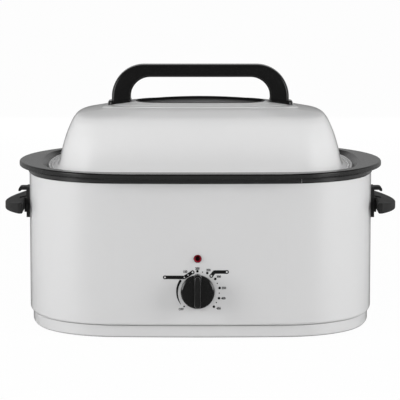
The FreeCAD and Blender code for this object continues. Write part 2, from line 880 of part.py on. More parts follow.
def glass_cap(drop):
    """A solid under the glass's pillow-shaped top face, lowered by a distance."""
    crown_z = dome_top_z + glass_crown_height - drop
    across_radius = (window_half_depth ** 2 + glass_rise_across ** 2) / (2 * glass_rise_across)
    sag_z = crown_z - glass_rise_along
    reach = window_half_width
    arc = Part.Arc(Vector(-reach, 0, sag_z), Vector(0, 0, crown_z), Vector(reach, 0, sag_z)).toShape()
    low_z = sag_z - 30
    right = Part.LineSegment(Vector(reach, 0, sag_z), Vector(reach, 0, low_z)).toShape()
    bottom = Part.LineSegment(Vector(reach, 0, low_z), Vector(-reach, 0, low_z)).toShape()
    left = Part.LineSegment(Vector(-reach, 0, low_z), Vector(-reach, 0, sag_z)).toShape()
    face = Part.Face(Part.Wire([arc, right, bottom, left]))
    axis_point = Vector(0, 0, crown_z - across_radius)
    span = 2 * math.degrees(math.asin(1.2 * window_half_depth / across_radius))
    face.rotate(axis_point, Vector(1, 0, 0), -span / 2)
    return face.revolve(axis_point, Vector(1, 0, 0), span)


def make_window_glass():
    blank = window_oval.grown(-small_gap).plate(dome_top_z - 30, 60)
    glass = blank.common(glass_cap(0)).cut(glass_cap(glass_thickness))
    floor_z = dome_top_z - glass_thickness
    return glass.cut(box((-200, -100, floor_z - 60), (200, 100, floor_z)))


def make_window_gasket():
    low_z = dome_top_z - glass_thickness - lid_sheet
    points = [
        (0, low_z),
        (gasket_width - small_gap, low_z),
        (gasket_width - small_gap, dome_top_z),
        (gasket_width + gasket_lip, dome_top_z),
        (gasket_width + gasket_lip, dome_top_z + gasket_lip_height, 0.6),
        (0, dome_top_z + gasket_lip_height, 0.4),
    ]
    return section_ring(window_oval, points)


def handle_blank():
    """The lid handle's side view as a solid, without its rounded edges."""
    half = handle_half_length
    inner = half - handle_leg_width
    low_z = dome_top_z - 14
    outer_bend_z = handle_top_z - handle_outer_radius
    inner_bend_z = handle_underside_z - handle_inner_radius
    outer_turn = handle_outer_radius
    inner_turn = handle_inner_radius
    points = [
        (-half, low_z, 0),
        (-half, handle_top_z, outer_turn),
        (half, handle_top_z, outer_turn),
        (half, low_z, 0),
        (inner, low_z, 0),
        (inner, handle_underside_z, inner_turn),
        (-inner, handle_underside_z, inner_turn),
        (-inner, low_z, 0),
    ]
    assert inner_bend_z > low_z and outer_bend_z > low_z
    face = Part.Face(rounded_wire(points))
    face.translate(Vector(0, -handle_depth / 2, 0))
    return face.extrude(Vector(0, handle_depth, 0))


def lid_top_at(x):
    """Height of the lid's top at this distance from the middle, between the level curves."""
    levels = [(lid_edge_half_width - inset_ends, height) for height, inset_ends, _, _ in dome_levels]
    for (wide, low), (narrow, high) in zip(levels, levels[1:]):
        if narrow <= abs(x) <= wide:
            return seat_z + low + (high - low) * (wide - abs(x)) / (wide - narrow)
    return dome_top_z


def foot_plane_z(x):
    """Height of the sloping plane between the handle's leg and its foot."""
    inner_x = handle_half_length - handle_leg_width
    drop = math.tan(math.radians(handle_foot_slope)) * (abs(x) - inner_x)
    return lid_top_at(inner_x) + handle_foot_thickness - drop


def under_foot_plane(x_low, x_high):
    """A solid below the sloping foot plane between two places on the right-hand side."""
    low_z = dome_top_z - 40
    points = [Vector(x_low, -60, low_z), Vector(x_high, -60, low_z), Vector(x_high, -60, foot_plane_z(x_high)),
              Vector(x_low, -60, foot_plane_z(x_low)), Vector(x_low, -60, low_z)]
    return Part.Face(Part.makePolygon(points)).extrude(Vector(0, 120, 0))


def make_lid_handle():
    blank = handle_blank()
    long_edges = []
    for edge in blank.Edges:
        ends = [vertex.Point for vertex in edge.Vertexes]
        on_one_side = abs(ends[0].y - ends[1].y) < 1e-6
        at_bottom = max(ends[0].z, ends[1].z) < dome_top_z - 13
        if on_one_side and not at_bottom:
            long_edges.append(edge)
    handle = blank.makeFillet(handle_edge_radius, long_edges)
    below = under_foot_plane(60, 200)
    handle = handle.cut(below).cut(mirrored(below))
    holes = []
    for side in (-1, 1):
        x = side * handle_leg_x
        holes.append(rod((x, 0, dome_top_z - 20), (x, 0, lid_screw_top_z()), handle_screw_radius))
    return handle.cut(Part.makeCompound(holes))


def make_handle_foot():
    """The spacer under the right leg: a flange that follows the lid's slope."""
    low_x = handle_half_length - handle_leg_width - 0.5
    high_x = handle_half_length + handle_foot_overlap
    half_y = handle_depth / 2 + 2
    plan = Part.makeBox(high_x - low_x, 2 * half_y, 60, Vector(low_x, -half_y, dome_top_z - 40))
    upright = [edge for edge in plan.Edges if abs(edge.Vertexes[0].Z - edge.Vertexes[-1].Z) > 50]
    plan = plan.makeFillet(6, upright)
    foot = plan.common(under_foot_plane(60, 200)).cut(dome_solid(0))
    return foot.cut(rod((handle_leg_x, 0, dome_top_z - 40), (handle_leg_x, 0, handle_top_z), handle_screw_radius))


def lid_screw_low_z():
    """Underside of the washers at the handle's screws."""
    return lid_top_at(handle_leg_x + handle_washer_radius) - lid_sheet - handle_washer_thickness


def lid_screw_top_z():
    return lid_screw_low_z() + handle_screw_length


def lid_screw_shanks():
    shanks = []
    for side in (-1, 1):
        x = side * handle_leg_x
        shanks.append(rod((x, 0, lid_screw_low_z()), (x, 0, lid_screw_top_z()), handle_screw_radius))
    return shanks


def make_lid_handle_screws():
    screws = []
    for shank in lid_screw_shanks():
        x = shank.CenterOfMass.x
        low_z = lid_screw_low_z()
        head = rod((x, 0, low_z - handle_screw_head_height), (x, 0, low_z), handle_screw_head_radius)
        screws.append(fused([head, shank]))
    return Part.makeCompound(screws)


def make_lid_handle_washers():
    """Thick washers whose upper face follows the inside of the lid."""
    washers = []
    inside = dome_solid(lid_sheet)
    for side in (-1, 1):
        x = side * handle_leg_x
        blank = rod((x, 0, lid_screw_low_z()), (x, 0, dome_top_z), handle_washer_radius)
        bore = rod((x, 0, dome_top_z - 60), (x, 0, dome_top_z), handle_screw_radius)
        washers.append(blank.common(inside).cut(bore))
    return Part.makeCompound(washers)


# ------------------------------------------------------------------ side handles, drawn on the right
def side_screw_shanks(side):
    shanks = []
    for side_y in (-1, 1):
        y = side_y * side_screw_spacing / 2
        wall_x = casing_oval.width_at(y)
        inner_x = wall_x - casing_sheet - backing_plate_thickness
        shanks.append(rod((side * inner_x, y, web_middle_z), (side * (wall_x + side_screw_depth), y, web_middle_z),
                          side_screw_radius))
    return shanks


def grip_plan(reach_x, inner_x, end_x, half_length):
    """A crescent: a straight inner edge, short ends and an outer edge bowed out to the reach."""
    low_end = Vector(end_x, -half_length, 0)
    high_end = Vector(end_x, half_length, 0)
    edges = [
        Part.Arc(low_end, Vector(reach_x, 0, 0), high_end).toShape(),
        Part.LineSegment(high_end, Vector(inner_x, half_length, 0)).toShape(),
        Part.LineSegment(Vector(inner_x, half_length, 0), Vector(inner_x, -half_length, 0)).toShape(),
        Part.LineSegment(Vector(inner_x, -half_length, 0), low_end).toShape(),
    ]
    return Part.Face(Part.Wire(edges))


def make_grip():
    wall_x = casing_half_width
    inner_x = wall_x + grip_inner_gap
    reach_x = wall_x + grip_reach
    blank = grip_plan(reach_x, inner_x, inner_x + grip_end_width, grip_half_length)
    blank.translate(Vector(0, 0, grip_low_z))
    grip = blank.extrude(Vector(0, 0, grip_inner_height + 10))
    corners = [edge for edge in grip.Edges
               if edge.BoundBox.ZLength > grip_inner_height and edge.BoundBox.XLength < 0.1]
    grip = grip.makeFillet(grip_corner_radius, corners)
    high_z = grip_low_z + grip_inner_height
    slope_end = Vector(reach_x + 10, -200, high_z - (grip_inner_height - grip_outer_height)
                       * (reach_x + 10 - inner_x) / (reach_x - inner_x))
    above = Part.Face(Part.makePolygon([
        Vector(inner_x, -200, high_z), slope_end, Vector(slope_end.x, -200, high_z + 20),
        Vector(inner_x - 10, -200, high_z + 20), Vector(inner_x - 10, -200, high_z),
        Vector(inner_x, -200, high_z)])).extrude(Vector(0, 400, 0))
    grip = grip.cut(above)
    outer_edges = [edge for edge in grip.Edges
                   if edge.BoundBox.YLength > grip_half_length and edge.BoundBox.XMax > inner_x + 5]
    return grip.makeFillet(grip_edge_radius, outer_edges)


def make_hook():
    wall_x = casing_half_width
    low_z = bracket_top_z - hook_drop
    under_z = bracket_top_z - hook_thickness
    tip_x = wall_x + hook_reach
    points = [
        (wall_x - 6, bracket_top_z, 0),
        (tip_x, bracket_top_z, hook_thickness),
        (tip_x, low_z, 0.6),
        (tip_x - 0.6 * hook_thickness, low_z, 0.6),
        (tip_x - hook_thickness, under_z, 1.0),
        (wall_x - 6, under_z, 0),
    ]
    face = Part.Face(rounded_wire(points))
    face.translate(Vector(0, -hook_half_width, 0))
    return face.extrude(Vector(0, 2 * hook_half_width, 0))


def make_side_handle():
    wall_x = casing_half_width
    inner_x = wall_x + grip_inner_gap
    plate = box((wall_x - 6, -bracket_half_width, bracket_low_z),
                (wall_x + bracket_thickness, bracket_half_width, bracket_top_z))
    web = box((wall_x - 6, -web_half_width, grip_low_z - web_drop),
              (inner_x + 1, web_half_width, grip_low_z + grip_inner_height))
    slot_x = wall_x + bracket_thickness + slot_start
    high_z = grip_low_z + grip_inner_height
    slot = box((slot_x, -slot_half_width, high_z - slot_depth),
               (slot_x + slot_length, slot_half_width, high_z + 1))
    handle = fused([plate, make_hook(), web, make_grip()]).cut(slot)
    handle = handle.cut(casing_oval.plate(bracket_low_z - 30, bracket_height + 60))
    return handle.cut(Part.makeCompound(side_screw_shanks(1)))


def make_backing_plates():
    half_y = bracket_half_width - backing_plate_margin
    low_z = bracket_low_z + backing_plate_margin
    high_z = bracket_top_z - backing_plate_margin
    outer = casing_oval.grown(-casing_sheet).plate(low_z, high_z - low_z)
    inner = casing_oval.grown(-casing_sheet - backing_plate_thickness).plate(low_z, high_z - low_z)
    window = box((0, -half_y, low_z), (casing_half_width + 10, half_y, high_z))
    right = outer.cut(inner).common(window).cut(Part.makeCompound(side_screw_shanks(1)))
    return Part.makeCompound([right, mirrored(right)])


def make_side_handle_screws():
    screws = []
    for side in (-1, 1):
        for shank in side_screw_shanks(side):
            y = shank.CenterOfMass.y
            inner_x = casing_oval.width_at(y) - casing_sheet - backing_plate_thickness
            near_x = inner_x - 0.4
            head = rod((side * (near_x - side_screw_head_height), y, web_middle_z),
                       (side * inner_x, y, web_middle_z), side_screw_head_radius)
            inside = casing_oval.grown(-casing_sheet - backing_plate_thickness)
            head = head.common(inside.plate(bracket_low_z, bracket_height))
            screws.append(fused([head, shank]))
    return Part.makeCompound(screws)


# ------------------------------------------------------------------ control
def shaft_front_y():
    return panel_y - knob_gap - shaft_in_knob - knob_pocket_depth + 2


def make_thermostat():
    front_y = inner_panel_y + small_gap
    half = thermostat_width / 2
    body = box((control_x - half, front_y, knob_height - thermostat_height / 2),
               (control_x + half, front_y + thermostat_depth, knob_height + thermostat_height / 2))
    body = body.makeFillet(thermostat_edge, [edge for edge in body.Edges if edge.BoundBox.YLength > 1])
    bushing = control_rod(front_y, panel_y - bushing_length, knob_height, bushing_radius)
    bore = control_rod(front_y + shaft_in_body + 0.5, panel_y - bushing_length - 1, knob_height,
                       shaft_radius + shaft_running_gap)
    return fused([body, bushing]).cut(bore)


def make_thermostat_nut():
    front_y = panel_y - nut_thickness
    nut = hexagon((control_x, front_y, knob_height), (0, 1, 0), nut_across_corners, nut_thickness)
    nut = nut.cut(control_rod(front_y - 1, panel_y + 1, knob_height, bushing_radius))
    return nut.cut(casing_oval.plate(0, casing_top_z))


def make_thermostat_shaft():
    back_y = inner_panel_y + small_gap + shaft_in_body
    front_y = shaft_front_y()
    shaft = control_rod(back_y, front_y, knob_height, shaft_radius)
    flat_z = knob_height - shaft_radius + shaft_flat_depth
    flat = box((control_x - shaft_radius, front_y, flat_z - 3),
               (control_x + shaft_radius, front_y + knob_clip_length + 1, flat_z))
    return shaft.cut(flat)


def make_knob_clip():
    front_y = shaft_front_y()
    high_z = knob_height - shaft_radius + shaft_flat_depth
    return box((control_x - knob_clip_width / 2, front_y, high_z - knob_clip_sheet),
               (control_x + knob_clip_width / 2, front_y + knob_clip_length, high_z))


def make_control_knob():
    back_y = panel_y - knob_gap
    skirt = control_rod(back_y, back_y - knob_skirt, knob_height, knob_radius)
    front_edge = [edge for edge in skirt.Edges if edge.BoundBox.YMax < back_y - 1]
    skirt = skirt.makeFillet(knob_edge_radius, front_edge)
    half = knob_bar_width / 2
    bar_reach = knob_radius - knob_bar_inset
    bar = box((control_x - half, knob_front_y, knob_height - bar_reach),
              (control_x + half, back_y - 1, knob_height + bar_reach))
    bar = bar.makeFillet(knob_edge_radius, [edge for edge in bar.Edges if edge.BoundBox.YMax < knob_front_y + 0.1
                                            or edge.BoundBox.YLength > 5])
    pointer = box((control_x - pointer_width / 2, back_y - knob_skirt + 1, knob_height + knob_radius - 4),
                  (control_x + pointer_width / 2, back_y - 1, knob_height + knob_radius + pointer_rise))
    knob = fused([skirt, bar, pointer])
    pocket = control_rod(back_y + 1, back_y - knob_pocket_depth, knob_height, knob_pocket_radius)
    bore = control_rod(back_y, shaft_front_y() - 0.3, knob_height, shaft_radius + shaft_fit_gap)
    return knob.cut(pocket).cut(bore)


def make_sensor_bulb():
    z = heater_low_z - bulb_below_heater
    y = liner_front_y - bulb_radius - small_gap
    start_x = -bulb_length / 2
    end_x = bulb_length / 2
    bulb = rod((start_x, y, z), (end_x, y, z), bulb_radius)
    body_y = inner_panel_y + small_gap + thermostat_depth - 5
    body_top_z = knob_height + thermostat_height / 2
    turn_x = end_x + 8
    drop_x = control_x + thermostat_width / 2 - 4
    capillary = tube([(end_x - 1, y, z), (turn_x, y, z), (turn_x, body_y, body_top_z + 5),
                      (drop_x, body_y, body_top_z + 5), (drop_x, body_y, body_top_z)],
                     capillary_radius, 2.5)
    return fused([bulb, capillary])


def make_bulb_clips():
    clips = []
    z = heater_low_z - bulb_below_heater
    blank_wall = lid_oval.grown(liner_outer_s).plate(well_floor_z, heater_low_z - well_floor_z)
    for side in (-1, 1):
        x = side * bulb_length / 3
        outer = bulb_radius + small_gap + clip_sheet
        centre_y = liner_front_y - bulb_radius - small_gap
        saddle = rod((x - clip_width / 2, centre_y, z), (x + clip_width / 2, centre_y, z), outer)
        tab = box((x - clip_width / 2, liner_front_y - clip_sheet, z - 3 * bulb_radius),
                  (x + clip_width / 2, liner_front_y + 2, z))
        hollow = rod((x - clip_width, centre_y, z), (x + clip_width, centre_y, z), bulb_radius + small_gap)
        clips.append(fused([saddle, tab]).cut(hollow).cut(blank_wall))
    return Part.makeCompound(clips)


def make_pilot_lens():
    flange = control_rod(panel_y + 1, panel_y - lamp_flange_thickness, lamp_height, lamp_flange_radius)
    ball_radius = (lamp_lens_radius ** 2 + lamp_lens_rise ** 2) / (2 * lamp_lens_rise)
    start_y = panel_y - lamp_flange_thickness
    ball = Part.makeSphere(ball_radius, Vector(control_x, start_y - lamp_lens_rise + ball_radius, lamp_height))
    cap = ball.common(box((control_x - 20, start_y - 10, lamp_height - 20),
                          (control_x + 20, start_y, lamp_height + 20)))
    lens = fused([flange, cap]).cut(casing_oval.plate(seam_z + 10, casing_height - 20))
    return lens.cut(control_rod(panel_y, panel_y + 2, lamp_height, lamp_body_radius))


def make_pilot_lamp_body():
    return control_rod(panel_y, panel_y + lamp_body_length, lamp_height, lamp_body_radius)


def make_pilot_ring():
    back_y = inner_panel_y + 2 * small_gap
    ring_blank = control_rod(inner_panel_y - 1, back_y + lamp_ring_thickness, lamp_height, lamp_ring_radius)
    ring_blank = ring_blank.common(casing_oval.grown(-casing_sheet).plate(seam_z + 10, casing_height - 20))
    return ring_blank.cut(control_rod(inner_panel_y - 2, back_y + 5, lamp_height, lamp_body_radius))


# ------------------------------------------------------------------ supply side
def make_terminal_block():
    half = terminal_block_width / 2
    low = (-half, terminal_block_y, base_floor_top_z)
    high = (half, terminal_block_y + terminal_block_depth, base_floor_top_z + terminal_block_height)
    block = box(low, high)
    wells = []
    for step in (-1, 0, 1):
        x = step * terminal_block_width / 3.4
        wells.append(rod((x, terminal_block_y + terminal_block_depth / 2, high[2] - 5),
                         (x, terminal_block_y + terminal_block_depth / 2, high[2] + 1), 3))
    return block.cut(Part.makeCompound(wells))


def make_cord_bushing():
    """A spool-shaped bushing snapped into the casing's rear wall."""
    wall_y = casing_half_depth
    z = cord_bushing_height
    outer = rod((0, wall_y, z), (0, wall_y + cord_bushing_flange_thickness, z), cord_bushing_flange_radius)
    neck = rod((0, wall_y - casing_sheet - small_gap, z), (0, wall_y, z), bushing_neck_radius)
    inner_y = wall_y - casing_sheet - small_gap
    inner = rod((0, inner_y - cord_bushing_flange_thickness, z), (0, inner_y, z), cord_bushing_flange_radius - 1)
    bore = rod((0, wall_y - 10, z), (0, wall_y + 10, z), cord_bore_radius)
    return fused([outer, neck, inner]).cut(bore)


def make_wire_leads():
    """Mains leads to the thermostat, and leads from it to the lamp and to the heater's studs."""
    leads = []
    block_y = terminal_block_y - small_gap
    lead_z = base_floor_top_z + terminal_block_height / 2
    body_top_z = knob_height + thermostat_height / 2
    body_y = inner_panel_y + small_gap + thermostat_depth / 2
    back_y = inner_panel_y + small_gap + thermostat_depth
    for side in (-1, 1):
        x = side * lead_spacing / 2
        end_x = control_x + x
        end_z = knob_height - thermostat_height / 4
        leads.append(tube([(x, block_y, lead_z), (x, block_y - 12, lead_z), (side * 30, block_y - 50, lead_z),
                           (side * 30, back_y + 50, lead_z), (end_x, back_y + 7, lead_z + 4),
                           (end_x, back_y + 7, end_z), (end_x, back_y + small_gap, end_z)], lead_radius, 4))
    lamp_back_y = panel_y + lamp_body_length
    lamp_y = lamp_back_y + 5
    leads.append(tube([(control_x, lamp_back_y + small_gap, lamp_height), (control_x, lamp_y, lamp_height),
                       (control_x, lamp_y, lamp_height - 10), (control_x, body_y, body_top_z + 12),
                       (control_x, body_y, body_top_z + small_gap)], lead_radius, 1.8))
    for side, (x, z) in zip((-1, 1), stud_places()):
        stud_y = -lid_oval.grown(heater_outer_s).depth_at(x) - terminal_stud_length - small_gap
        front_y = inner_panel_y + 2 * lead_radius + 1
        end_x = control_x + side * 11
        leads.append(tube([(x, stud_y, z), (x, front_y, z), (x, front_y, z - 10), (end_x, front_y, body_top_z + 6),
                           (end_x, front_y, body_top_z + small_gap)], lead_radius, 2.5))
    return Part.makeCompound(leads)


NODES = {
    "casing_shell": make_casing_shell,
    "base_pan": make_base_pan,
    "seam_rivets": make_seam_rivets,
    "rubber_feet": make_feet,
    "foot_screws": make_foot_screws,
    "foot_nuts": make_foot_nuts,
    "rim_trim_band": make_rim_trim,
    "cook_well": make_cook_well,
    "deck_ring": make_deck_ring,
    "heater_band": make_heater_band,
    "heater_terminals": make_heater_terminals,
    "insulation_blanket": make_insulation,
    "well_tie_rod": make_tie_rod,
    "well_tie_nut": make_tie_nut,
    "roasting_pan": make_roasting_pan,
    "roasting_rack": make_roasting_rack,
    "rack_legs": make_rack_legs,
    "rack_loops": make_rack_loops,
    "lid_shell": make_lid_shell,
    "lid_window_glass": make_window_glass,
    "lid_window_gasket": make_window_gasket,
    "lid_handle": make_lid_handle,
    "lid_handle_foot_right": make_handle_foot,
    "lid_handle_foot_left": lambda: mirrored(make_handle_foot()),
    "lid_handle_screws": make_lid_handle_screws,
    "lid_handle_washers": make_lid_handle_washers,
    "side_handle_right": make_side_handle,
    "side_handle_left": lambda: mirrored(make_side_handle()),
    "side_handle_backing_plates": make_backing_plates,
    "side_handle_screws": make_side_handle_screws,
    "thermostat": make_thermostat,
    "thermostat_nut": make_thermostat_nut,
    "thermostat_shaft": make_thermostat_shaft,
    "control_knob": make_control_knob,
    "knob_clip": make_knob_clip,
    "sensor_bulb": make_sensor_bulb,
    "sensor_bulb_clips": make_bulb_clips,
    "pilot_lamp_lens": make_pilot_lens,
    "pilot_lamp_body": make_pilot_lamp_body,
    "pilot_lamp_ring": make_pilot_ring,
    "terminal_block": make_terminal_block,
    "cord_bushing": make_cord_bushing,
    "wire_leads": make_wire_leads,
}


def write_part(name, shape):
    shape.translate(Vector(0, stand_shift_y, 0))
    state = "valid" if shape.isValid() else "NOT VALID"
    print(name, "solids", len(shape.Solids), "volume cm3", round(shape.Volume / 1000, 2), state)
    shape.exportStep(os.path.join(PARTS_FOLDER, name + ".step"))


def main():
    os.makedirs(PARTS_FOLDER, exist_ok=True)
    print("shift of the plan's middle along Y", stand_shift_y)
    for name, make in NODES.items():
        write_part(name, make())


main()
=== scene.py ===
import json
import math
import bpy
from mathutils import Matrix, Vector


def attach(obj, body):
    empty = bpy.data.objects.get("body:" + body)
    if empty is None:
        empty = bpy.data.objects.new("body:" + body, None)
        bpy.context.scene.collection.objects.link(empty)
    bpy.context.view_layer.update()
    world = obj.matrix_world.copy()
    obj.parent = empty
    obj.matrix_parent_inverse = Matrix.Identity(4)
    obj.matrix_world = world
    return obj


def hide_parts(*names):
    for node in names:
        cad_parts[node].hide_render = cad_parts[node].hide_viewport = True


# Electric roaster oven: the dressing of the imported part.
# Lengths are millimetres about the middle of the casing's plan, as a maker would draw them, and
# at() turns them into metres in the part's own frame. Only the studio is laid out in metres.

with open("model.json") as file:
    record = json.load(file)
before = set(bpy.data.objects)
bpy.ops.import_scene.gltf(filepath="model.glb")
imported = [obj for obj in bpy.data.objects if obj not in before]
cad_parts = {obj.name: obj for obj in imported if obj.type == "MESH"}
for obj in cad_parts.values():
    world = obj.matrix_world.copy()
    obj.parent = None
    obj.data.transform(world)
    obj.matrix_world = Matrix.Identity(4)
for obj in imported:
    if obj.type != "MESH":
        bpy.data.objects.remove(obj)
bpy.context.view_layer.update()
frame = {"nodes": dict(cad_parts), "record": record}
nodes = frame["nodes"]

MM = 0.001
# how far back the middle of the plan lies in the part's own frame
PLAN_BACK = 3.75


def at(x, y, z):
    return (x * MM, (y + PLAN_BACK) * MM, z * MM)


# ------------------------------------------------------------------ plan outlines
# steps round each kind of arc
END_STEPS = 16
CORNER_STEPS = 30
SIDE_STEPS = 40


class Oval:
    """A plan outline of eight tangent arcs: two long sides, two ends and four corners."""

    def __init__(self, half_width, half_depth, corner_radius, side_radius, end_radius):
        self.sizes = (half_width, half_depth, corner_radius, side_radius, end_radius)
        self.corner_radius = corner_radius
        self.side_radius = side_radius
        self.end_radius = end_radius
        self.side_y = half_depth - side_radius
        self.end_x = half_width - end_radius
        # a corner arc touches a side and an end, so its centre lies where two circles meet
        to_side = side_radius - corner_radius
        to_end = end_radius - corner_radius
        span = math.hypot(self.end_x, self.side_y)
        along = (span ** 2 + to_side ** 2 - to_end ** 2) / (2 * span)
        across = math.sqrt(to_side ** 2 - along ** 2)
        unit_x = self.end_x / span
        unit_y = -self.side_y / span
        meetings = [(along * unit_x + way * across * unit_y,
                     self.side_y + along * unit_y - way * across * unit_x) for way in (1, -1)]
        self.corner_x, self.corner_y = max(meetings, key=sum)

    def grown(self, distance):
        return Oval(*(size + distance for size in self.sizes))

    def towards(self, other, share):
        """The outline part of the way to another one."""
        return Oval(*(here + (there - here) * share
                      for here, there in zip(self.sizes, other.sizes)))

    def stations(self):
        """Arc centre, radius and direction of places round the outline, anticlockwise."""
        low = math.atan2(self.corner_y, self.corner_x - self.end_x)
        high = math.atan2(self.corner_y - self.side_y, self.corner_x)
        end = (self.end_radius, 2 * low, END_STEPS)
        corner = (self.corner_radius, high - low, CORNER_STEPS)
        side = (self.side_radius, math.pi - 2 * high, SIDE_STEPS)
        arcs = [
            (self.end_x, 0, -low, end),
            (self.corner_x, self.corner_y, low, corner),
            (0, self.side_y, high, side),
            (-self.corner_x, self.corner_y, math.pi - high, corner),
            (-self.end_x, 0, math.pi - low, end),
            (-self.corner_x, -self.corner_y, math.pi + low, corner),
            (0, -self.side_y, math.pi + high, side),
            (self.corner_x, -self.corner_y, 2 * math.pi - high, corner),
        ]
        places = []
        for centre_x, centre_y, start, (radius, sweep, count) in arcs:
            for step in range(count):
                angle = start + sweep * step / count
                places.append((centre_x, centre_y, radius, math.cos(angle), math.sin(angle)))
        return places

    def outside_by(self, x, y):
        """How far a place in plan lies outside the outline; less than nothing inside."""
        x, y = abs(x), abs(y)
        if y * (self.corner_x - self.end_x) <= self.corner_y * (x - self.end_x):
            return math.hypot(x - self.end_x, y) - self.end_radius
        if x * (self.corner_y - self.side_y) <= self.corner_x * (y - self.side_y):
            return math.hypot(x, y - self.side_y) - self.side_radius
        return math.hypot(x - self.corner_x, y - self.corner_y) - self.corner_radius

    def depth_at(self, x):
        """Half the outline's depth at this distance from the middle, on its long side."""
        return self.side_y + math.sqrt(self.side_radius ** 2 - x ** 2)


def rounded(points, turn_step):
    """The points of a path whose (across, up, radius) corners are rounded; its ends stay put."""
    path = []
    for index, (x, z, radius) in enumerate(points):
        if radius <= 0 or index in (0, len(points) - 1):
            path.append((x, z))
            continue
        here = Vector((x, z))
        back = (Vector(points[index - 1][:2]) - here).normalized()
        onward = (Vector(points[index + 1][:2]) - here).normalized()
        half_angle = back.angle(onward) / 2
        start = here + back * (radius / math.tan(half_angle))
        centre = here + (back + onward).normalized() * (radius / math.sin(half_angle))
        spoke = start - centre
        turn = math.pi - 2 * half_angle
        if back.x * onward.y - back.y * onward.x > 0:
            turn = -turn
        count = max(2, math.ceil(math.degrees(abs(turn)) / turn_step))
        for step in range(count + 1):
            angle = turn * step / count
            path.append((centre.x + spoke.x * math.cos(angle) - spoke.y * math.sin(angle),
                         centre.y + spoke.x * math.sin(angle) + spoke.y * math.cos(angle)))
    return path


def spread(low, high, count):
    """Evenly spaced numbers, both ends among them."""
    return [low + (high - low) * index / (count - 1) for index in range(count)]


# ------------------------------------------------------------------ making pieces
def loft(rows, first_closed=False, last_closed=False, inside_out=False):
    """A skin through rows of points, as points and faces; it faces outwards where the rows run
    anticlockwise and each lies within or in front of the one before."""
    columns = len(rows[0])
    last = (len(rows) - 1) * columns
    faces = []
    for row in range(0, last, columns):
        for column in range(columns):
            beside = (column + 1) % columns
            faces.append((row + column, row + beside,
                          row + columns + beside, row + columns + column))
    if last_closed:
        faces.append(tuple(range(last, last + columns)))
    if first_closed:
        faces.append(tuple(reversed(range(columns))))
    if inside_out:
        faces = [tuple(reversed(face)) for face in faces]
    return [point for row in rows for point in row], faces


def make_piece(name, skin, body, slot, replaces, crease, finish=None):
    """A smooth piece from points and faces, in its slot's own finish unless another is named."""
    points, faces = skin
    mesh = bpy.data.meshes.new(name)
    mesh.from_pydata(points, [], faces)
    mesh.validate()
    mesh.materials.append(FINISHES[finish or slot])
    mesh.polygons.foreach_set("use_smooth", [True] * len(mesh.polygons))
    mesh.update()
    mesh.set_sharp_from_angle(angle=math.radians(crease))
    piece = bpy.data.objects.new(name, mesh)
    bpy.context.scene.collection.objects.link(piece)
    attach(piece, body)
    if replaces:
        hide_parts(*replaces)
    return piece


def round_the_outline(line, distance, z):
    """One row of points round an outline, at a distance outside it."""
    return [at(centre_x + (radius + distance) * along_x,
               centre_y + (radius + distance) * along_y, z)
            for centre_x, centre_y, radius, along_x, along_y in line.stations()]


# ------------------------------------------------------------------ shared effects
def shared_effect(name, inputs, outputs):
    """An empty node group with named number sockets, and the sockets inside it."""
    group = bpy.data.node_groups.new(name, "ShaderNodeTree")
    for socket_name, start in inputs.items():
        socket = group.interface.new_socket(
            name=socket_name, in_out="INPUT", socket_type="NodeSocketFloat")
        socket.default_value = start
    for socket_name in outputs:
        group.interface.new_socket(
            name=socket_name, in_out="OUTPUT", socket_type="NodeSocketFloat")
    given = group.nodes.new("NodeGroupInput").outputs
    result = group.nodes.new("NodeGroupOutput").inputs
    return group, given, result


def feed(tree, socket, value):
    """Gives a socket a number, or the output of another node."""
    if isinstance(value, (int, float)):
        socket.default_value = value
    else:
        tree.links.new(value, socket)


def add_math(tree, operation, first, second=0):
    node = tree.nodes.new("ShaderNodeMath")
    node.operation = operation
    feed(tree, node.inputs[0], first)
    feed(tree, node.inputs[1], second)
    return node.outputs[0]


def add_range(tree, value, low, high, new_low, new_high):
    """A value's way from low to high turned into one from new_low to new_high, and held there."""
    node = tree.nodes.new("ShaderNodeMapRange")
    feed(tree, node.inputs["Value"], value)
    feed(tree, node.inputs["From Min"], low)
    feed(tree, node.inputs["From Max"], high)
    feed(tree, node.inputs["To Min"], new_low)
    feed(tree, node.inputs["To Max"], new_high)
    return node.outputs["Result"]


def add_place(tree, kind="Object"):
    return tree.nodes.new("ShaderNodeTexCoord").outputs[kind]


def add_split_place(tree, kind="Object"):
    """X, Y and Z of a place on the piece or, for the world, of a direction."""
    split = tree.nodes.new("ShaderNodeSeparateXYZ")
    tree.links.new(add_place(tree, kind), split.inputs["Vector"])
    return split.outputs


def add_noise(tree, place, scale, detail, roughness):
    noise = tree.nodes.new("ShaderNodeTexNoise")
    noise.inputs["Detail"].default_value = detail
    noise.inputs["Roughness"].default_value = roughness
    tree.links.new(scale, noise.inputs["Scale"])
    tree.links.new(place, noise.inputs["Vector"])
    return noise.outputs["Fac"]


def make_lacquer_skin():
    """Sprayed lacquer: a fine orange peel, and broad cloudy changes of tone and gloss."""
    group, given, result = shared_effect(
        "lacquer skin", {"Peel Scale": 400.0, "Cloud Scale": 6.0}, ("Peel", "Cloud"))
    place = add_place(group)
    group.links.new(add_noise(group, place, given["Peel Scale"], 2.0, 0.5), result["Peel"])
    group.links.new(add_noise(group, place, given["Cloud Scale"], 4.0, 0.6), result["Cloud"])
    return group


def make_mould_grain():
    """Moulded plastic: a spark-eroded grain and faint flow marks."""
    group, given, result = shared_effect(
        "mould grain", {"Grain Scale": 1500.0, "Flow Scale": 40.0}, ("Grain", "Flow"))
    place = add_place(group)
    group.links.new(add_noise(group, place, given["Grain Scale"], 3.0, 0.65), result["Grain"])
    group.links.new(add_noise(group, place, given["Flow Scale"], 5.0, 0.55), result["Flow"])
    return group


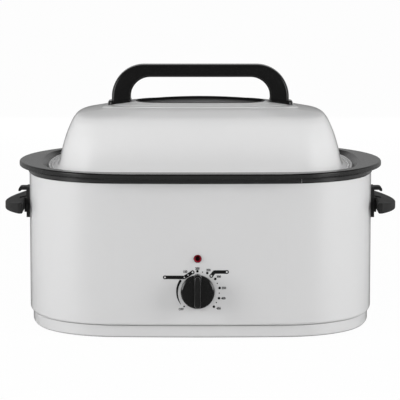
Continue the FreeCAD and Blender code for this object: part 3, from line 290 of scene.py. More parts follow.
def make_drawn_metal():
    """Rolled or drawn metal: long fine streaks with a little staining."""
    group, given, result = shared_effect(
        "drawn metal", {"Streak Scale": 300.0, "Stain Scale": 25.0}, ("Streak", "Stain"))
    place = add_place(group)
    stretch = group.nodes.new("ShaderNodeMapping")
    stretch.inputs["Scale"].default_value = (0.06, 1.0, 1.0)
    group.links.new(place, stretch.inputs["Vector"])
    drawn_out = stretch.outputs["Vector"]
    group.links.new(add_noise(group, drawn_out, given["Streak Scale"], 4.0, 0.6), result["Streak"])
    group.links.new(add_noise(group, place, given["Stain Scale"], 4.0, 0.55), result["Stain"])
    return group


def make_enamel_melt():
    """Vitreous enamel: a rippled melt with fine pin specks."""
    group, given, result = shared_effect(
        "enamel melt", {"Ripple Scale": 90.0, "Speck Scale": 900.0}, ("Ripple", "Speck"))
    place = add_place(group)
    group.links.new(add_noise(group, place, given["Ripple Scale"], 2.0, 0.5), result["Ripple"])
    cells = group.nodes.new("ShaderNodeTexVoronoi")
    group.links.new(place, cells.inputs["Vector"])
    group.links.new(given["Speck Scale"], cells.inputs["Scale"])
    speck = add_range(group, cells.outputs["Distance"], 0.05, 0.22, 1.0, 0.0)
    group.links.new(speck, result["Speck"])
    return group


def make_painted_shadow_line():
    """A painted line of shadow at a height on the piece: full to its half width, then fading."""
    group, given, result = shared_effect(
        "level line", {"Height": 0.0, "Half Width": 0.0005, "Faded": 0.001}, ("Shade",))
    above = add_math(group, "SUBTRACT", add_split_place(group)["Z"], given["Height"])
    away = add_math(group, "ABSOLUTE", above)
    shade = add_range(group, away, given["Half Width"], given["Faded"], 1.0, 0.0)
    group.links.new(shade, result["Shade"])
    return group


# a surface effect, its output for tone and gloss, and its output for relief
LACQUER = (make_lacquer_skin(), "Cloud", "Peel")
MOULD = (make_mould_grain(), "Flow", "Grain")
DRAWN = (make_drawn_metal(), "Stain", "Streak")
ENAMEL = (make_enamel_melt(), "Speck", "Ripple")
PAINTED_SHADOW_LINE = make_painted_shadow_line()

# the part of an effect's tone over which the gloss changes
TONE_SPREAD = (0.25, 0.75)


# ------------------------------------------------------------------ finishes
def grey(level):
    return (level, level, level)


def blank_finish(name):
    material = bpy.data.materials.new(name)
    material.use_nodes = True
    tree = material.node_tree
    return material, tree, tree.nodes["Principled BSDF"]


def add_effect(tree, group, settings):
    """Places a shared effect with its own settings."""
    effect = tree.nodes.new("ShaderNodeGroup")
    effect.node_tree = group
    for socket_name, value in settings.items():
        effect.inputs[socket_name].default_value = value
    return effect.outputs


def mix_tones(tree, share, first, second):
    """A colour part of the way from a first to a second one, each a colour or an output."""
    mix = tree.nodes.new("ShaderNodeMix")
    mix.data_type = "RGBA"
    tree.links.new(share, mix.inputs["Factor"])
    for socket_name, tone in (("A", first), ("B", second)):
        if isinstance(tone, tuple):
            mix.inputs[socket_name].default_value = (*tone, 1.0)
        else:
            tree.links.new(tone, mix.inputs[socket_name])
    return mix.outputs["Result"]


def seen_along(tree, low, high):
    """0 where a face is seen square on and 1 where it is seen along, changing from low to high."""
    weight = tree.nodes.new("ShaderNodeLayerWeight")
    weight.inputs["Blend"].default_value = 0.5
    return add_range(tree, weight.outputs["Facing"], low, high, 0.0, 1.0)


def effect_finish(name, effect, settings, dark, light, gloss, relief, metallic=0.0, shine=0.5):
    """A finish whose tone, gloss and relief in millimetres come from one shared effect."""
    material, tree, shader = blank_finish(name)
    group, tone_output, relief_output = effect
    outputs = add_effect(tree, group, settings)
    tone = outputs[tone_output]
    tree.links.new(mix_tones(tree, tone, dark, light), shader.inputs["Base Color"])
    tree.links.new(add_range(tree, tone, *TONE_SPREAD, *gloss), shader.inputs["Roughness"])
    bump = tree.nodes.new("ShaderNodeBump")
    bump.inputs["Distance"].default_value = relief * MM
    bump.inputs["Strength"].default_value = 1.0
    tree.links.new(outputs[relief_output], bump.inputs["Height"])
    tree.links.new(bump.outputs["Normal"], shader.inputs["Normal"])
    shader.inputs["Metallic"].default_value = metallic
    shader.inputs["Specular IOR Level"].default_value = shine
    return material


def paint_by_view_angle(name, square_on, along_face, low, high, gloss, shine):
    """A clear moulding whose colour is painted by the angle it is seen at: one colour square on,
    another along its face.
    """
    material, tree, shader = blank_finish(name)
    flow = add_effect(tree, MOULD[0], {"Flow Scale": 20})["Flow"]
    painted_colour = mix_tones(tree, seen_along(tree, low, high), square_on, along_face)
    tree.links.new(painted_colour, shader.inputs["Base Color"])
    tree.links.new(add_range(tree, flow, *TONE_SPREAD, *gloss), shader.inputs["Roughness"])
    shader.inputs["Specular IOR Level"].default_value = shine
    return material


def paint_over(material, share, tone):
    """Lays a grey tone over a finish's colour, as much of it as the share says."""
    tree = material.node_tree
    colour = tree.nodes["Principled BSDF"].inputs["Base Color"]
    paint = colour.links[0].from_socket
    tree.links.new(mix_tones(tree, share, paint, grey(tone)), colour)


def draw_shadow_lines(material, lines, tone):
    """Painted level lines of shadow where sheets meet or turn, each with its height, its half
    width and the distance at which it has faded out."""
    shade = 0.0
    for line in lines:
        settings = dict(zip(("Height", "Half Width", "Faded"), (size * MM for size in line)))
        effect = add_effect(material.node_tree, PAINTED_SHADOW_LINE, settings)
        shade = add_math(material.node_tree, "MAXIMUM", shade, effect["Shade"])
    paint_over(material, shade, tone)


def paint_glancing_reflection(material, low, high, tone):
    """Paints the colour darker where the paint is seen almost along its face: a painted reflection
    of the darker room round the gloss paint.
    """
    paint_over(material, seen_along(material.node_tree, low, high), tone)


FINISHES = {
    "casing_paint": effect_finish(
        "casing paint", LACQUER, {"Peel Scale": 700, "Cloud Scale": 5},
        (0.600, 0.600, 0.603), (0.630, 0.630, 0.631), gloss=(0.28, 0.36), relief=0.02),
    "lid_paint": effect_finish(
        "lid paint", LACQUER, {"Peel Scale": 700, "Cloud Scale": 6},
        (0.70, 0.70, 0.702), (0.73, 0.73, 0.73), gloss=(0.30, 0.38), relief=0.02, shine=0.3),
    "plated_steel": effect_finish(
        "plated steel", DRAWN, {"Streak Scale": 900},
        grey(0.50), grey(0.62), gloss=(0.24, 0.38), relief=0.02, metallic=1.0),
    "foot_rubber": effect_finish(
        "foot rubber", MOULD, {"Grain Scale": 900},
        grey(0.02), grey(0.035), gloss=(0.7, 0.85), relief=0.06),
    "trim_black": effect_finish(
        "rim trim", MOULD, {"Grain Scale": 1200},
        grey(0.032), grey(0.040), gloss=(0.18, 0.26), relief=0.01, shine=0.4),
    "side_grip": effect_finish(
        "side grip", MOULD, {"Grain Scale": 1200},
        grey(0.022), grey(0.030), gloss=(0.42, 0.50), relief=0.02, shine=0.07),
    "well_aluminium": effect_finish(
        "well aluminium", DRAWN, {"Streak Scale": 500},
        grey(0.62), grey(0.74), gloss=(0.34, 0.46), relief=0.03, metallic=0.6),
    "heater_cover": effect_finish(
        "heater cover", DRAWN, {"Streak Scale": 200},
        (0.42, 0.38, 0.32), (0.55, 0.51, 0.45), gloss=(0.45, 0.6), relief=0.08, metallic=0.6),
    "insulation_fibre": effect_finish(
        "insulation fibre", MOULD, {"Grain Scale": 420, "Flow Scale": 60},
        (0.62, 0.55, 0.36), (0.78, 0.72, 0.52), gloss=(0.85, 0.95), relief=1.2),
    "pan_enamel": effect_finish(
        "pan enamel", ENAMEL, {"Ripple Scale": 60, "Speck Scale": 420},
        grey(0.023), grey(0.042), gloss=(0.22, 0.32), relief=0.03, shine=0.4),
    "rack_chrome": effect_finish(
        "rack chrome", DRAWN, {"Streak Scale": 600},
        grey(0.66), grey(0.74), gloss=(0.08, 0.18), relief=0.01, metallic=1.0),
    "gasket_rubber": effect_finish(
        "gasket rubber", MOULD, {"Grain Scale": 1400},
        grey(0.05), grey(0.07), gloss=(0.55, 0.7), relief=0.03, shine=0.2),
    "handle_plastic": effect_finish(
        "handle plastic", MOULD, {"Grain Scale": 1500},
        grey(0.006), grey(0.010), gloss=(0.10, 0.14), relief=0.004),
    "knob_plastic": effect_finish(
        "knob plastic", MOULD, {"Grain Scale": 1800},
        grey(0.011), grey(0.015), gloss=(0.12, 0.17), relief=0.004, shine=0.7),
    "dial_print": effect_finish(
        "dial ink", MOULD, {"Grain Scale": 2200},
        grey(0.006), grey(0.012), gloss=(0.45, 0.6), relief=0.005, shine=0.2),
    "control_moulding": effect_finish(
        "control moulding", MOULD, {"Grain Scale": 1200},
        (0.55, 0.50, 0.42), (0.63, 0.58, 0.50), gloss=(0.42, 0.55), relief=0.04),
    "brass_fitting": effect_finish(
        "brass fitting", DRAWN, {"Streak Scale": 700},
        (0.62, 0.46, 0.22), (0.74, 0.58, 0.30), gloss=(0.24, 0.38), relief=0.02, metallic=1.0),
    "bushing_plastic": effect_finish(
        "bushing plastic", MOULD, {"Grain Scale": 1200},
        grey(0.018), grey(0.028), gloss=(0.42, 0.55), relief=0.03),
    "lead_insulation": effect_finish(
        "lead insulation", MOULD, {"Grain Scale": 1600},
        (0.58, 0.58, 0.55), (0.70, 0.70, 0.66), gloss=(0.45, 0.6), relief=0.03),
    # the window's grey seen square on and near black seen along its face are painted reflections of
    # the room
    "window_glass": paint_by_view_angle(
        "window glass", (0.165, 0.167, 0.167), grey(0.0006),
        low=0.70, high=0.80, gloss=(0.03, 0.06), shine=0.0),
    # the lamp lens's colour is painted by the angle it is seen at: near black square on, red along
    # its face
    "lamp_red": paint_by_view_angle(
        "lamp lens", (0.008, 0.001, 0.001), (0.420, 0.006, 0.028),
        low=0.12, high=0.40, gloss=(0.16, 0.24), shine=0.2),
}
window_shader = FINISHES["window_glass"].node_tree.nodes["Principled BSDF"]
window_shader.inputs["Transmission Weight"].default_value = 0.05
window_shader.inputs["IOR"].default_value = 1.2

# painted shadows on the casing paint lie under the rim trim, at the seam with the base pan and by
# the stand
draw_shadow_lines(FINISHES["casing_paint"],
                  [(236.0, 0.4, 1.0), (21.8, 0.5, 1.1), (3.0, 0.6, 2.0)], tone=0.25)
# painted shadows on the trim under the pan flange's skirt and at its lower edge, and on the
# flange's front at its top and lower edges
draw_shadow_lines(FINISHES["trim_black"], [(243.0, 0.7, 1.3), (236.3, 0.5, 1.1)], tone=0.003)
draw_shadow_lines(FINISHES["pan_enamel"], [(250.5, 0.4, 1.0), (243.8, 0.4, 1.0)], tone=0.003)
# painted reflection: the casing and lid paint are drawn darker where they are seen almost along
# their faces
paint_glancing_reflection(FINISHES["casing_paint"], low=0.84, high=0.95, tone=0.22)
paint_glancing_reflection(FINISHES["lid_paint"], low=0.89, high=0.96, tone=0.22)

# the side handles are duller than the lid's handle, which shares their slot
SIDE_GRIPS = ("side_handle_right", "side_handle_left")

for material_slot in frame["record"]["materials"]:
    if material_slot["slot"] not in FINISHES:
        raise SystemExit("no finish for slot " + material_slot["slot"])
for subpart in frame["record"]["subparts"]:
    if subpart["node"] in nodes:
        finish_name = "side_grip" if subpart["node"] in SIDE_GRIPS else subpart["material_slot"]
        node_materials = nodes[subpart["node"]].data.materials
        node_materials.clear()
        node_materials.append(FINISHES[finish_name])


# ------------------------------------------------------------------ sizes of the dressed pieces
# outlines: half width, half depth, corner radius, side radius, end radius
CASING_LINE = Oval(266, 191.5, 136.5, 2500, 313)
LID_LINE = Oval(236, 169.4, 100, 2500, 490)
PLATEAU_LINE = Oval(151, 75, 64, 1800, 240)
SECOND_BEAD_LINE = Oval(135, 61, 52, 1600, 180)
THIRD_BEAD_LINE = Oval(106, 49, 41, 1100, 74)
WINDOW_LINE = Oval(97, 42, 34, 900, 60)

# degrees: the least angle that stays a sharp edge, and the most that one step of a rounding turns
LID_CREASE = 50
MOULDING_CREASE = 40
DISC_CREASE = 30
PRINT_CREASE = 60
LID_EDGE_TURN = 15
HANDLE_EDGE_TURN = 11
DISC_TURN = 10

SEAT_Z = 243.5
DOME_TOP_Z = 342.4
LID_GAUGE = 1.0

# the lid's edge from outside inwards: distance outside its line, height over the seat, rounding
LID_EDGE = ((0, 0, 0), (0, 3.2, 1.3), (-3.0, 3.2, 1.2), (-3.2, 0.9, 0.4), (-4.8, 0.9, 0.4),
            (-5.0, 3.0, 1.1), (-7.8, 3.0, 1.1), (-8.0, 1.0, 0.4), (-11.5, 1.0, 0))
# the hollow at the dome's foot: distance outside the lid's line, height over the seat
DOME_FOOT = ((-13.2, 1.15), (-14.4, 1.7), (-15.3, 2.7), (-15.9, 4.0))

# height over the seat, half width, half depth and corner radius of the dome's pressing
DOME_LEVELS = [
    (3, 219.6, 153, 84), (29.4, 214, 147.4, 80), (61.8, 202.8, 135.6, 74), (75, 195.8, 127.0, 72),
    (81, 190, 120.6, 71), (84, 182.5, 115.5, 70), (86.2, 171.5, 110, 68), (88.9, 157.5, 103, 66),
    (92.6, 144.5, 92, 63), (95.2, 128, 77, 58), (97.4, 114, 62, 50), (98.9, 104, 50, 42),
]
DOME_SPANS = [math.hypot(there[2] - here[2], there[0] - here[0])
              for here, there in zip(DOME_LEVELS, DOME_LEVELS[1:])]
# radius of the dome's long sides over its half width, and of its ends over its half depth
DOME_SIDE_FLATNESS = 12
DOME_END_FLATNESS = 3.2
DOME_STEPS = 440
# the level at which the dome's side turns over to its top, counted from 0 at the foot
SHOULDER_LEVEL = 5
SHOULDER_STEP = DOME_STEPS * SHOULDER_LEVEL // (len(DOME_LEVELS) - 1)
# steps of the rows up the dome's side, close where it leaves its foot
SIDE_ROWS = (12, 22, 32, *range(40, SHOULDER_STEP + 1, 5))

# steps over the plain runs of the lid's top: from its shoulder in, and from bead to bead
SHOULDER_RUN = 6
SECOND_RUN = 4
THIRD_RUN = 5
# the plateau's ramp starts at its reach and sinks faster and faster: distances outside its line
PLATEAU_REACH = 25
PLATEAU_RAMP = (25, 21, 17, 13.5, 10.5, 8, 6, 4.4, 3.2, 2.2, 1.6)
# the plateau's edge and the beads within it: distance outside their line, sink
PLATEAU_STEP = ((1.2, 0.80), (0.8, 0.5), (0.4, 0.18), (0.0, 0.02), (-0.6, 0.0))
BEAD_STEP = ((2.4, 0.5), (1.2, 0.55), (0.7, 0.35), (0.2, 0.1), (-0.5, 0.0))
LAST_BEAD_STEP = (*BEAD_STEP, (-2.0, 0.0))
# how far the lid's top sinks from one bead to the edge of the next
BEAD_SINK = 0.5
# rows round the window, the last at the opening's cut edge: distance outside the window's line
WINDOW_ROWS = (2.6, 1.45)

HANDLE_TOP_Z = 399.1
HANDLE_HALF_LENGTH = 137.3
HANDLE_HALF_DEPTH = 16.0
HANDLE_LEG_WIDTH = 29.3
HANDLE_BAR_HEIGHT = 19.2
HANDLE_OUTER_BEND = 50.0
HANDLE_INNER_BEND = 30.5
HANDLE_OUTER_EDGE = 6.0
HANDLE_INNER_EDGE = 4.0
HANDLE_OVER_DOME = 4.6
# places along each straight run of the bail and round each of its bends
HANDLE_RUN_PLACES = 14
HANDLE_BEND_PLACES = 25

FOOT_SLOPE = math.tan(math.radians(6))
FOOT_LEVEL_X = 108.0
FOOT_INNER_X = 107.2
FOOT_OUTER_X = 143.2
FOOT_HALF_DEPTH = 18.0
FOOT_INNER_TURN = 4.0
FOOT_OUTER_TURN = 9.0
FOOT_TURN_PLACES = 10
FOOT_OVER_DOME = 0.05
# the foot's rows over its sloping level: how far they lie inside its outline, height
FOOT_ROWS = ((0.0, 2.4), (0.25, 3.3), (0.9, 4.1), (1.9, 4.55), (3.2, 4.7), (12.0, 4.7))

KNOB_X = -4.0
KNOB_Z = 74.1
KNOB_FRONT_Y = -213.5
KNOB_BACK_Y = -192.7
KNOB_RIM_Y = KNOB_BACK_Y - 7.6
# the knob's disc from back to front: radius, place along Y, rounding
DISC_PROFILE = (
    (23.6, KNOB_BACK_Y + 0.1, 0), (25.5, KNOB_BACK_Y + 0.1, 0.5), (25.3, KNOB_RIM_Y + 2.2, 0.9),
    (22.6, KNOB_RIM_Y, 0.5), (22.0, KNOB_RIM_Y + 0.5, 0.4), (14.0, KNOB_RIM_Y + 1.0, 6.0),
    (1.0, KNOB_RIM_Y + 1.0, 0))
DISC_STEPS = 112
BAR_HALF_WIDTH = 4.5
BAR_TOP = 24.3
BAR_BOTTOM = -22.4
BAR_END_PLACES = 16
BAR_ROOT_Y = KNOB_RIM_Y + 1.4
# the grip bar from its root to its front: how far inside its outline, place along Y
BAR_ROWS = (
    (-0.9, BAR_ROOT_Y), (-0.75, BAR_ROOT_Y - 0.9), (-0.6, KNOB_FRONT_Y + 4.2),
    (-0.35, KNOB_FRONT_Y + 2.3), (0.2, KNOB_FRONT_Y + 1.1), (1.0, KNOB_FRONT_Y + 0.35),
    (2.1, KNOB_FRONT_Y), (3.4, KNOB_FRONT_Y))
# the pointer from its root to its front: place along Y, how far outside its outline
POINTER_ROWS = ((BAR_ROOT_Y, 0.25), (KNOB_FRONT_Y + 7.0, 0.0), (KNOB_FRONT_Y + 5.4, -0.3),
                (KNOB_FRONT_Y + 4.8, -0.9))
POINTER_EDGE = 0.6
# right half of the pointer's outline, with how much each point moves aside and up as it widens
POINTER_HALF = ((6.1, 19.0, 1, 0), (5.7, 23.6, 1, 0), (3.4, 26.6, 1, 1), (1.6, 27.4, 0, 1))

PRINT_PROUD = 0.12
SPOT_PROUD = 0.16
# places of the dots beside the figures, of the marks between them and of the mark at the rest stop
FIGURE_DOTS = [(-4.4, 104.6), (10.3, 101.9), (22.2, 93.0), (28.8, 79.3), (27.8, 63.9), (20.2, 51.0)]
BETWEEN_DOTS = [(3.3, 103.3), (25.3, 86.3), (28.2, 71.5), (23.9, 57.4)]
OFF_DOT = (-24.2, 51.4)
FIGURE_DOT_RADIUS = 1.95
BETWEEN_DOT_RADIUS = 0.95
OFF_DOT_RADIUS = 1.25
# corners of the two bars, the places of their ringed ends and of the pale spots on the first bar
BARS = [[(-52.0, 95.3), (-23.8, 95.3), (-12.6, 102.6)],
        [(17.0, 98.4), (20.8, 103.4), (38.4, 103.4)]]
RINGED_ENDS = [(-52.8, 95.3), (-11.6, 103.1), (16.4, 97.6), (39.5, 103.4)]
BAR_SPOTS = [(-18.3, 98.9), (-23.8, 95.3)]
BAR_WIDTH = 5.3
BAR_PITCH = 1.2
RING_INNER = 1.35
RING_OUTER = 3.0
BAR_SPOT_RADIUS = 0.95
SPOT_SIDES = 24
RING_SIDES = 32
# the tapering arc beside the knob: its centre, radius and bearings from straight up, clockwise
ARC_CENTRE = (-2.8, 72.9)
ARC_RADIUS = 32.0
ARC_TURNS = (-55, -125.6)
ARC_PLACES = 40
ARC_WIDTH = 3.3
ARC_TIP_WIDTH = 0.3
ARC_TAPER = 0.55
# the dial's figures and the places of their middles
FIGURES = (("150", -22.6, 103.8), ("200", -4.4, 108.6), ("250", 12.0, 106.2), ("300", 27.4, 96.3),
           ("350", 35.2, 79.2), ("400", 34.4, 63.6), ("450", 27.2, 48.4), ("OFF", -28.6, 47.1))
FIGURE_SIZE = 4.9
FIGURE_WEIGHT = 0.19
FIGURE_NARROWING = 0.86


# ------------------------------------------------------------------ lid
def dome_slope(place, item):
    """How fast one of the dome's sizes changes along the pressing at one of its levels."""
    def between(index):
        return (DOME_LEVELS[index + 1][item] - DOME_LEVELS[index][item]) / DOME_SPANS[index]

    if place == 0:
        return between(0)
    if place == len(DOME_LEVELS) - 1:
        return between(place - 1)
    before, after = DOME_SPANS[place - 1], DOME_SPANS[place]
    return (between(place - 1) * after + between(place) * before) / (after + before)


def dome_outline(level):
    """The pressing's outline and height at a place between two levels, smooth through them all."""
    index = min(int(level), len(DOME_LEVELS) - 2)
    share = level - index
    square, cube = share ** 2, share ** 3

    def through(item):
        here, there = DOME_LEVELS[index][item], DOME_LEVELS[index + 1][item]
        leaving = dome_slope(index, item) * (cube - 2 * square + share)
        arriving = dome_slope(index + 1, item) * (cube - square)
        return (here * (2 * cube - 3 * square + 1) + there * (3 * square - 2 * cube)
                + DOME_SPANS[index] * (leaving + arriving))

    half_width, half_depth = through(1), through(2)
    outline = Oval(half_width, half_depth, through(3),
                   DOME_SIDE_FLATNESS * half_width, DOME_END_FLATNESS * half_depth)
    return outline, SEAT_Z + through(0)


DOME_STACK = [dome_outline(step * (len(DOME_LEVELS) - 1) / DOME_STEPS)
              for step in range(DOME_STEPS + 1)]


def dome_height(x, y):
    """Height of the dome's pressing over a place in plan."""
    low, high = 0, DOME_STEPS
    if DOME_STACK[high][0].outside_by(x, y) <= 0:
        return DOME_TOP_Z
    while high - low > 1:
        middle = (low + high) // 2
        if DOME_STACK[middle][0].outside_by(x, y) <= 0:
            low = middle
        else:
            high = middle
    inside = -DOME_STACK[low][0].outside_by(x, y)
    outside = DOME_STACK[high][0].outside_by(x, y)
    share = inside / (inside + outside) if inside + outside > 0 else 0
    return DOME_STACK[low][1] + (DOME_STACK[high][1] - DOME_STACK[low][1]) * share


def rows_between(outer, inner, count):
    """Outlines and sinks of the rows between two beads, sinking towards the inner one."""
    return [(outer.towards(inner, step / count), BEAD_SINK * (step / count) ** 2)
            for step in range(1, count)]


def lid_top_rows():
    """Outlines and sinks of the rows between the dome's shoulder and its window opening."""
    shoulder = DOME_STACK[SHOULDER_STEP][0]
    rows = [(shoulder.towards(PLATEAU_LINE.grown(PLATEAU_REACH), step / SHOULDER_RUN), 0.0)
            for step in range(1, SHOULDER_RUN)]
    rows += [(PLATEAU_LINE.grown(out), (1 - out / PLATEAU_REACH) ** 2) for out in PLATEAU_RAMP]
    rows += [(PLATEAU_LINE.grown(out), sink) for out, sink in PLATEAU_STEP]
    inmost, bead_edge = PLATEAU_STEP[-1][0], BEAD_STEP[0][0]
    rows += rows_between(PLATEAU_LINE.grown(inmost), SECOND_BEAD_LINE.grown(bead_edge),
                         SECOND_RUN)
    rows += [(SECOND_BEAD_LINE.grown(out), sink) for out, sink in BEAD_STEP]
    inmost = BEAD_STEP[-1][0]
    rows += rows_between(SECOND_BEAD_LINE.grown(inmost), THIRD_BEAD_LINE.grown(bead_edge),
                         THIRD_RUN)
    rows += [(THIRD_BEAD_LINE.grown(out), sink) for out, sink in LAST_BEAD_STEP]
    rows += [(WINDOW_LINE.grown(out), 0.0) for out in WINDOW_ROWS]
    return rows


def press_lid():
    """The lid's pressing: rolled edge, flat flange, dome, stepped plateau and window opening."""
    edge = rounded([(out, SEAT_Z + up, radius) for out, up, radius in LID_EDGE],
                   LID_EDGE_TURN)
    rows = [round_the_outline(LID_LINE, out, z) for out, z in edge]
    rows += [round_the_outline(LID_LINE, out, SEAT_Z + up) for out, up in DOME_FOOT]
    for step in SIDE_ROWS:
        outline, z = DOME_STACK[step]
        rows.append(round_the_outline(outline, 0, z))
    for outline, sink in lid_top_rows():
        row = []
        for centre_x, centre_y, radius, along_x, along_y in outline.stations():
            x, y = centre_x + radius * along_x, centre_y + radius * along_y
            row.append(at(x, y, dome_height(x, y) - sink))
        rows.append(row)
    lid = make_piece("lid_pressing", loft(rows), "lid", "lid_paint", ("lid_shell",), LID_CREASE)
    gauge = lid.modifiers.new("sheet gauge", "SOLIDIFY")
    gauge.thickness = LID_GAUGE * MM
    gauge.offset = -1


# ------------------------------------------------------------------ lid handle
def bail_line(half_length, top_z, foot_z, bend):
    """One line of the bail seen from the front, from its right foot over the bar to its left."""
    centre_x, centre_z = half_length - bend, top_z - bend
    line = [(half_length, z) for z in spread(foot_z, centre_z, HANDLE_RUN_PLACES)]
    line += [(centre_x + bend * math.cos(turn), centre_z + bend * math.sin(turn))
             for turn in spread(0, math.pi / 2, HANDLE_BEND_PLACES)[1:]]
    line += [(x, top_z) for x in spread(centre_x, 0, HANDLE_RUN_PLACES)[1:]]
    return line + [(-x, z) for x, z in reversed(line[:-1])]


def make_lid_handle():
    """The moulded bail: one slab on edge, bent over at both ends, its long edges well rounded."""
    inner_half = HANDLE_HALF_LENGTH - HANDLE_LEG_WIDTH
    inner_foot_z = dome_height(inner_half, 0) + HANDLE_OVER_DOME
    outer_foot_z = inner_foot_z - FOOT_SLOPE * HANDLE_LEG_WIDTH
    outer = bail_line(HANDLE_HALF_LENGTH, HANDLE_TOP_Z, outer_foot_z, HANDLE_OUTER_BEND)
    inner = bail_line(inner_half, HANDLE_TOP_Z - HANDLE_BAR_HEIGHT, inner_foot_z,
                      HANDLE_INNER_BEND)
    # each row is a closed section: over from the outer line to the inner one, and back behind
    half = HANDLE_HALF_DEPTH
    rows = []
    for (outer_x, outer_z), (inner_x, inner_z) in zip(outer, inner):
        thick = math.hypot(outer_x - inner_x, outer_z - inner_z)
        section = rounded([(0, 0, 0), (0, -half, HANDLE_OUTER_EDGE),
                           (thick, -half, HANDLE_INNER_EDGE), (thick, half, HANDLE_INNER_EDGE),
                           (0, half, HANDLE_OUTER_EDGE), (0, 0, 0)], HANDLE_EDGE_TURN)[:-1]
        rows.append([at(outer_x + (inner_x - outer_x) * into / thick, y,
                        outer_z + (inner_z - outer_z) * into / thick) for into, y in section])
    skin = loft(rows, first_closed=True, last_closed=True, inside_out=True)
    make_piece("lid_bail", skin, "lid", "handle_plastic", ("lid_handle",), MOULDING_CREASE)


def make_handle_foot(name, side, node_name):
    """The foot moulded round the bail's end: a sloping pad with a rounded lug beyond the leg."""
    outline = []
    for centre_x, turn, y_side, start in (
            (FOOT_OUTER_X - FOOT_OUTER_TURN, FOOT_OUTER_TURN, 1, 0),
            (FOOT_INNER_X + FOOT_INNER_TURN, FOOT_INNER_TURN, 1, 90),
            (FOOT_INNER_X + FOOT_INNER_TURN, FOOT_INNER_TURN, -1, 180),
            (FOOT_OUTER_X - FOOT_OUTER_TURN, FOOT_OUTER_TURN, -1, 270)):
        centre_y = y_side * (FOOT_HALF_DEPTH - turn)
        for angle in spread(start, start + 90, FOOT_TURN_PLACES):
            outline.append((centre_x + turn * math.cos(math.radians(angle)),
                            centre_y + turn * math.sin(math.radians(angle))))
    middle_x = (FOOT_INNER_X + FOOT_OUTER_X) / 2
    rows = [[at(side * x, y, dome_height(x, y) + FOOT_OVER_DOME) for x, y in outline]]
    for inset, up in FOOT_ROWS:
        shrink_x = 1 - inset / (FOOT_OUTER_X - middle_x)
        shrink_y = 1 - inset / FOOT_HALF_DEPTH
        row = []
        for x, y in outline:
            place_x = middle_x + (x - middle_x) * shrink_x
            level = dome_height(FOOT_LEVEL_X, 0) - FOOT_SLOPE * (place_x - FOOT_LEVEL_X)
            row.append(at(side * place_x, y * shrink_y, level + up))
        rows.append(row)
    skin = loft(rows, first_closed=True, last_closed=True, inside_out=side < 0)
    make_piece(name, skin, "lid", "handle_plastic", (node_name,), MOULDING_CREASE)


# ------------------------------------------------------------------ knob
def make_knob_disc():
    """A dished disc with a bevelled rim, turned about the knob's axis."""
    turns = [2 * math.pi * step / DISC_STEPS for step in range(DISC_STEPS)]
    rows = [[at(KNOB_X + radius * math.cos(turn), y, KNOB_Z + radius * math.sin(turn))
             for turn in turns] for radius, y in rounded(DISC_PROFILE, DISC_TURN)]
    make_piece("knob_disc", loft(rows, last_closed=True), "knob", "knob_plastic",
               ("control_knob",), DISC_CREASE)


def make_knob_bar():
    """The grip bar across the knob, with round ends and a crowned front."""
    high_end, low_end = BAR_TOP - BAR_HALF_WIDTH, BAR_BOTTOM + BAR_HALF_WIDTH
    outline = []
    for start, end_z in ((0, high_end), (180, low_end)):
        for angle in spread(start, start + 180, BAR_END_PLACES):
            outline.append((BAR_HALF_WIDTH * math.cos(math.radians(angle)),
                            end_z + BAR_HALF_WIDTH * math.sin(math.radians(angle))))
    rows = []
    for inset, y in BAR_ROWS:
        row = []
        for x, z in outline:
            crest = min(max(z, low_end), high_end)
            length = math.hypot(x, z - crest)
            shrink = (length - inset) / length
            row.append(at(KNOB_X + x * shrink, y, KNOB_Z + crest + (z - crest) * shrink))
        rows.append(row)
    make_piece("knob_bar", loft(rows, last_closed=True), "knob", "knob_plastic",
               ("control_knob",), MOULDING_CREASE)


def make_knob_pointer():
    """The pointer's nub at the upper end of the grip bar."""
    rows = []
    for y, out in POINTER_ROWS:
        right = [(x + out * aside, z + out * up) for x, z, aside, up in POINTER_HALF]
        outline = right + [(-x, z) for x, z in reversed(right)]
        rows.append([at(KNOB_X + x, y, KNOB_Z + z) for x, z in outline])
    pointer = make_piece("knob_pointer", loft(rows, last_closed=True), "knob", "knob_plastic",
                         ("control_knob",), DISC_CREASE)
    soft = pointer.modifiers.new("moulded edges", "BEVEL")
    soft.width = POINTER_EDGE * MM
    soft.segments = 2


# ------------------------------------------------------------------ printing round the knob
def on_panel(x, z, proud=PRINT_PROUD):
    """A place on the casing's front, a little proud of the paint."""
    return at(x, -CASING_LINE.depth_at(x) - proud, z)


def on_circle(x, z, radius, sides, proud=PRINT_PROUD):
    """Points of a circle on the casing's front."""
    turns = [2 * math.pi * step / sides for step in range(sides)]
    return [on_panel(x + radius * math.cos(turn), z + radius * math.sin(turn), proud)
            for turn in turns]


def bearing(degrees):
    """Where a bearing from straight up, clockwise, lies on the circle of the tapering arc."""
    turn = math.radians(degrees)
    centre_x, centre_z = ARC_CENTRE
    return centre_x + ARC_RADIUS * math.sin(turn), centre_z + ARC_RADIUS * math.cos(turn)


def add_spot(points, faces, x, z, radius, proud=PRINT_PROUD):
    start = len(points)
    points += on_circle(x, z, radius, SPOT_SIDES, proud)
    faces.append(tuple(range(start, len(points))))


def add_ring(points, faces, x, z):
    start, sides = len(points), RING_SIDES
    points += on_circle(x, z, RING_OUTER, sides) + on_circle(x, z, RING_INNER, sides)
    for step in range(sides):
        beside = (step + 1) % sides
        faces.append((start + step, start + beside, start + sides + beside, start + sides + step))


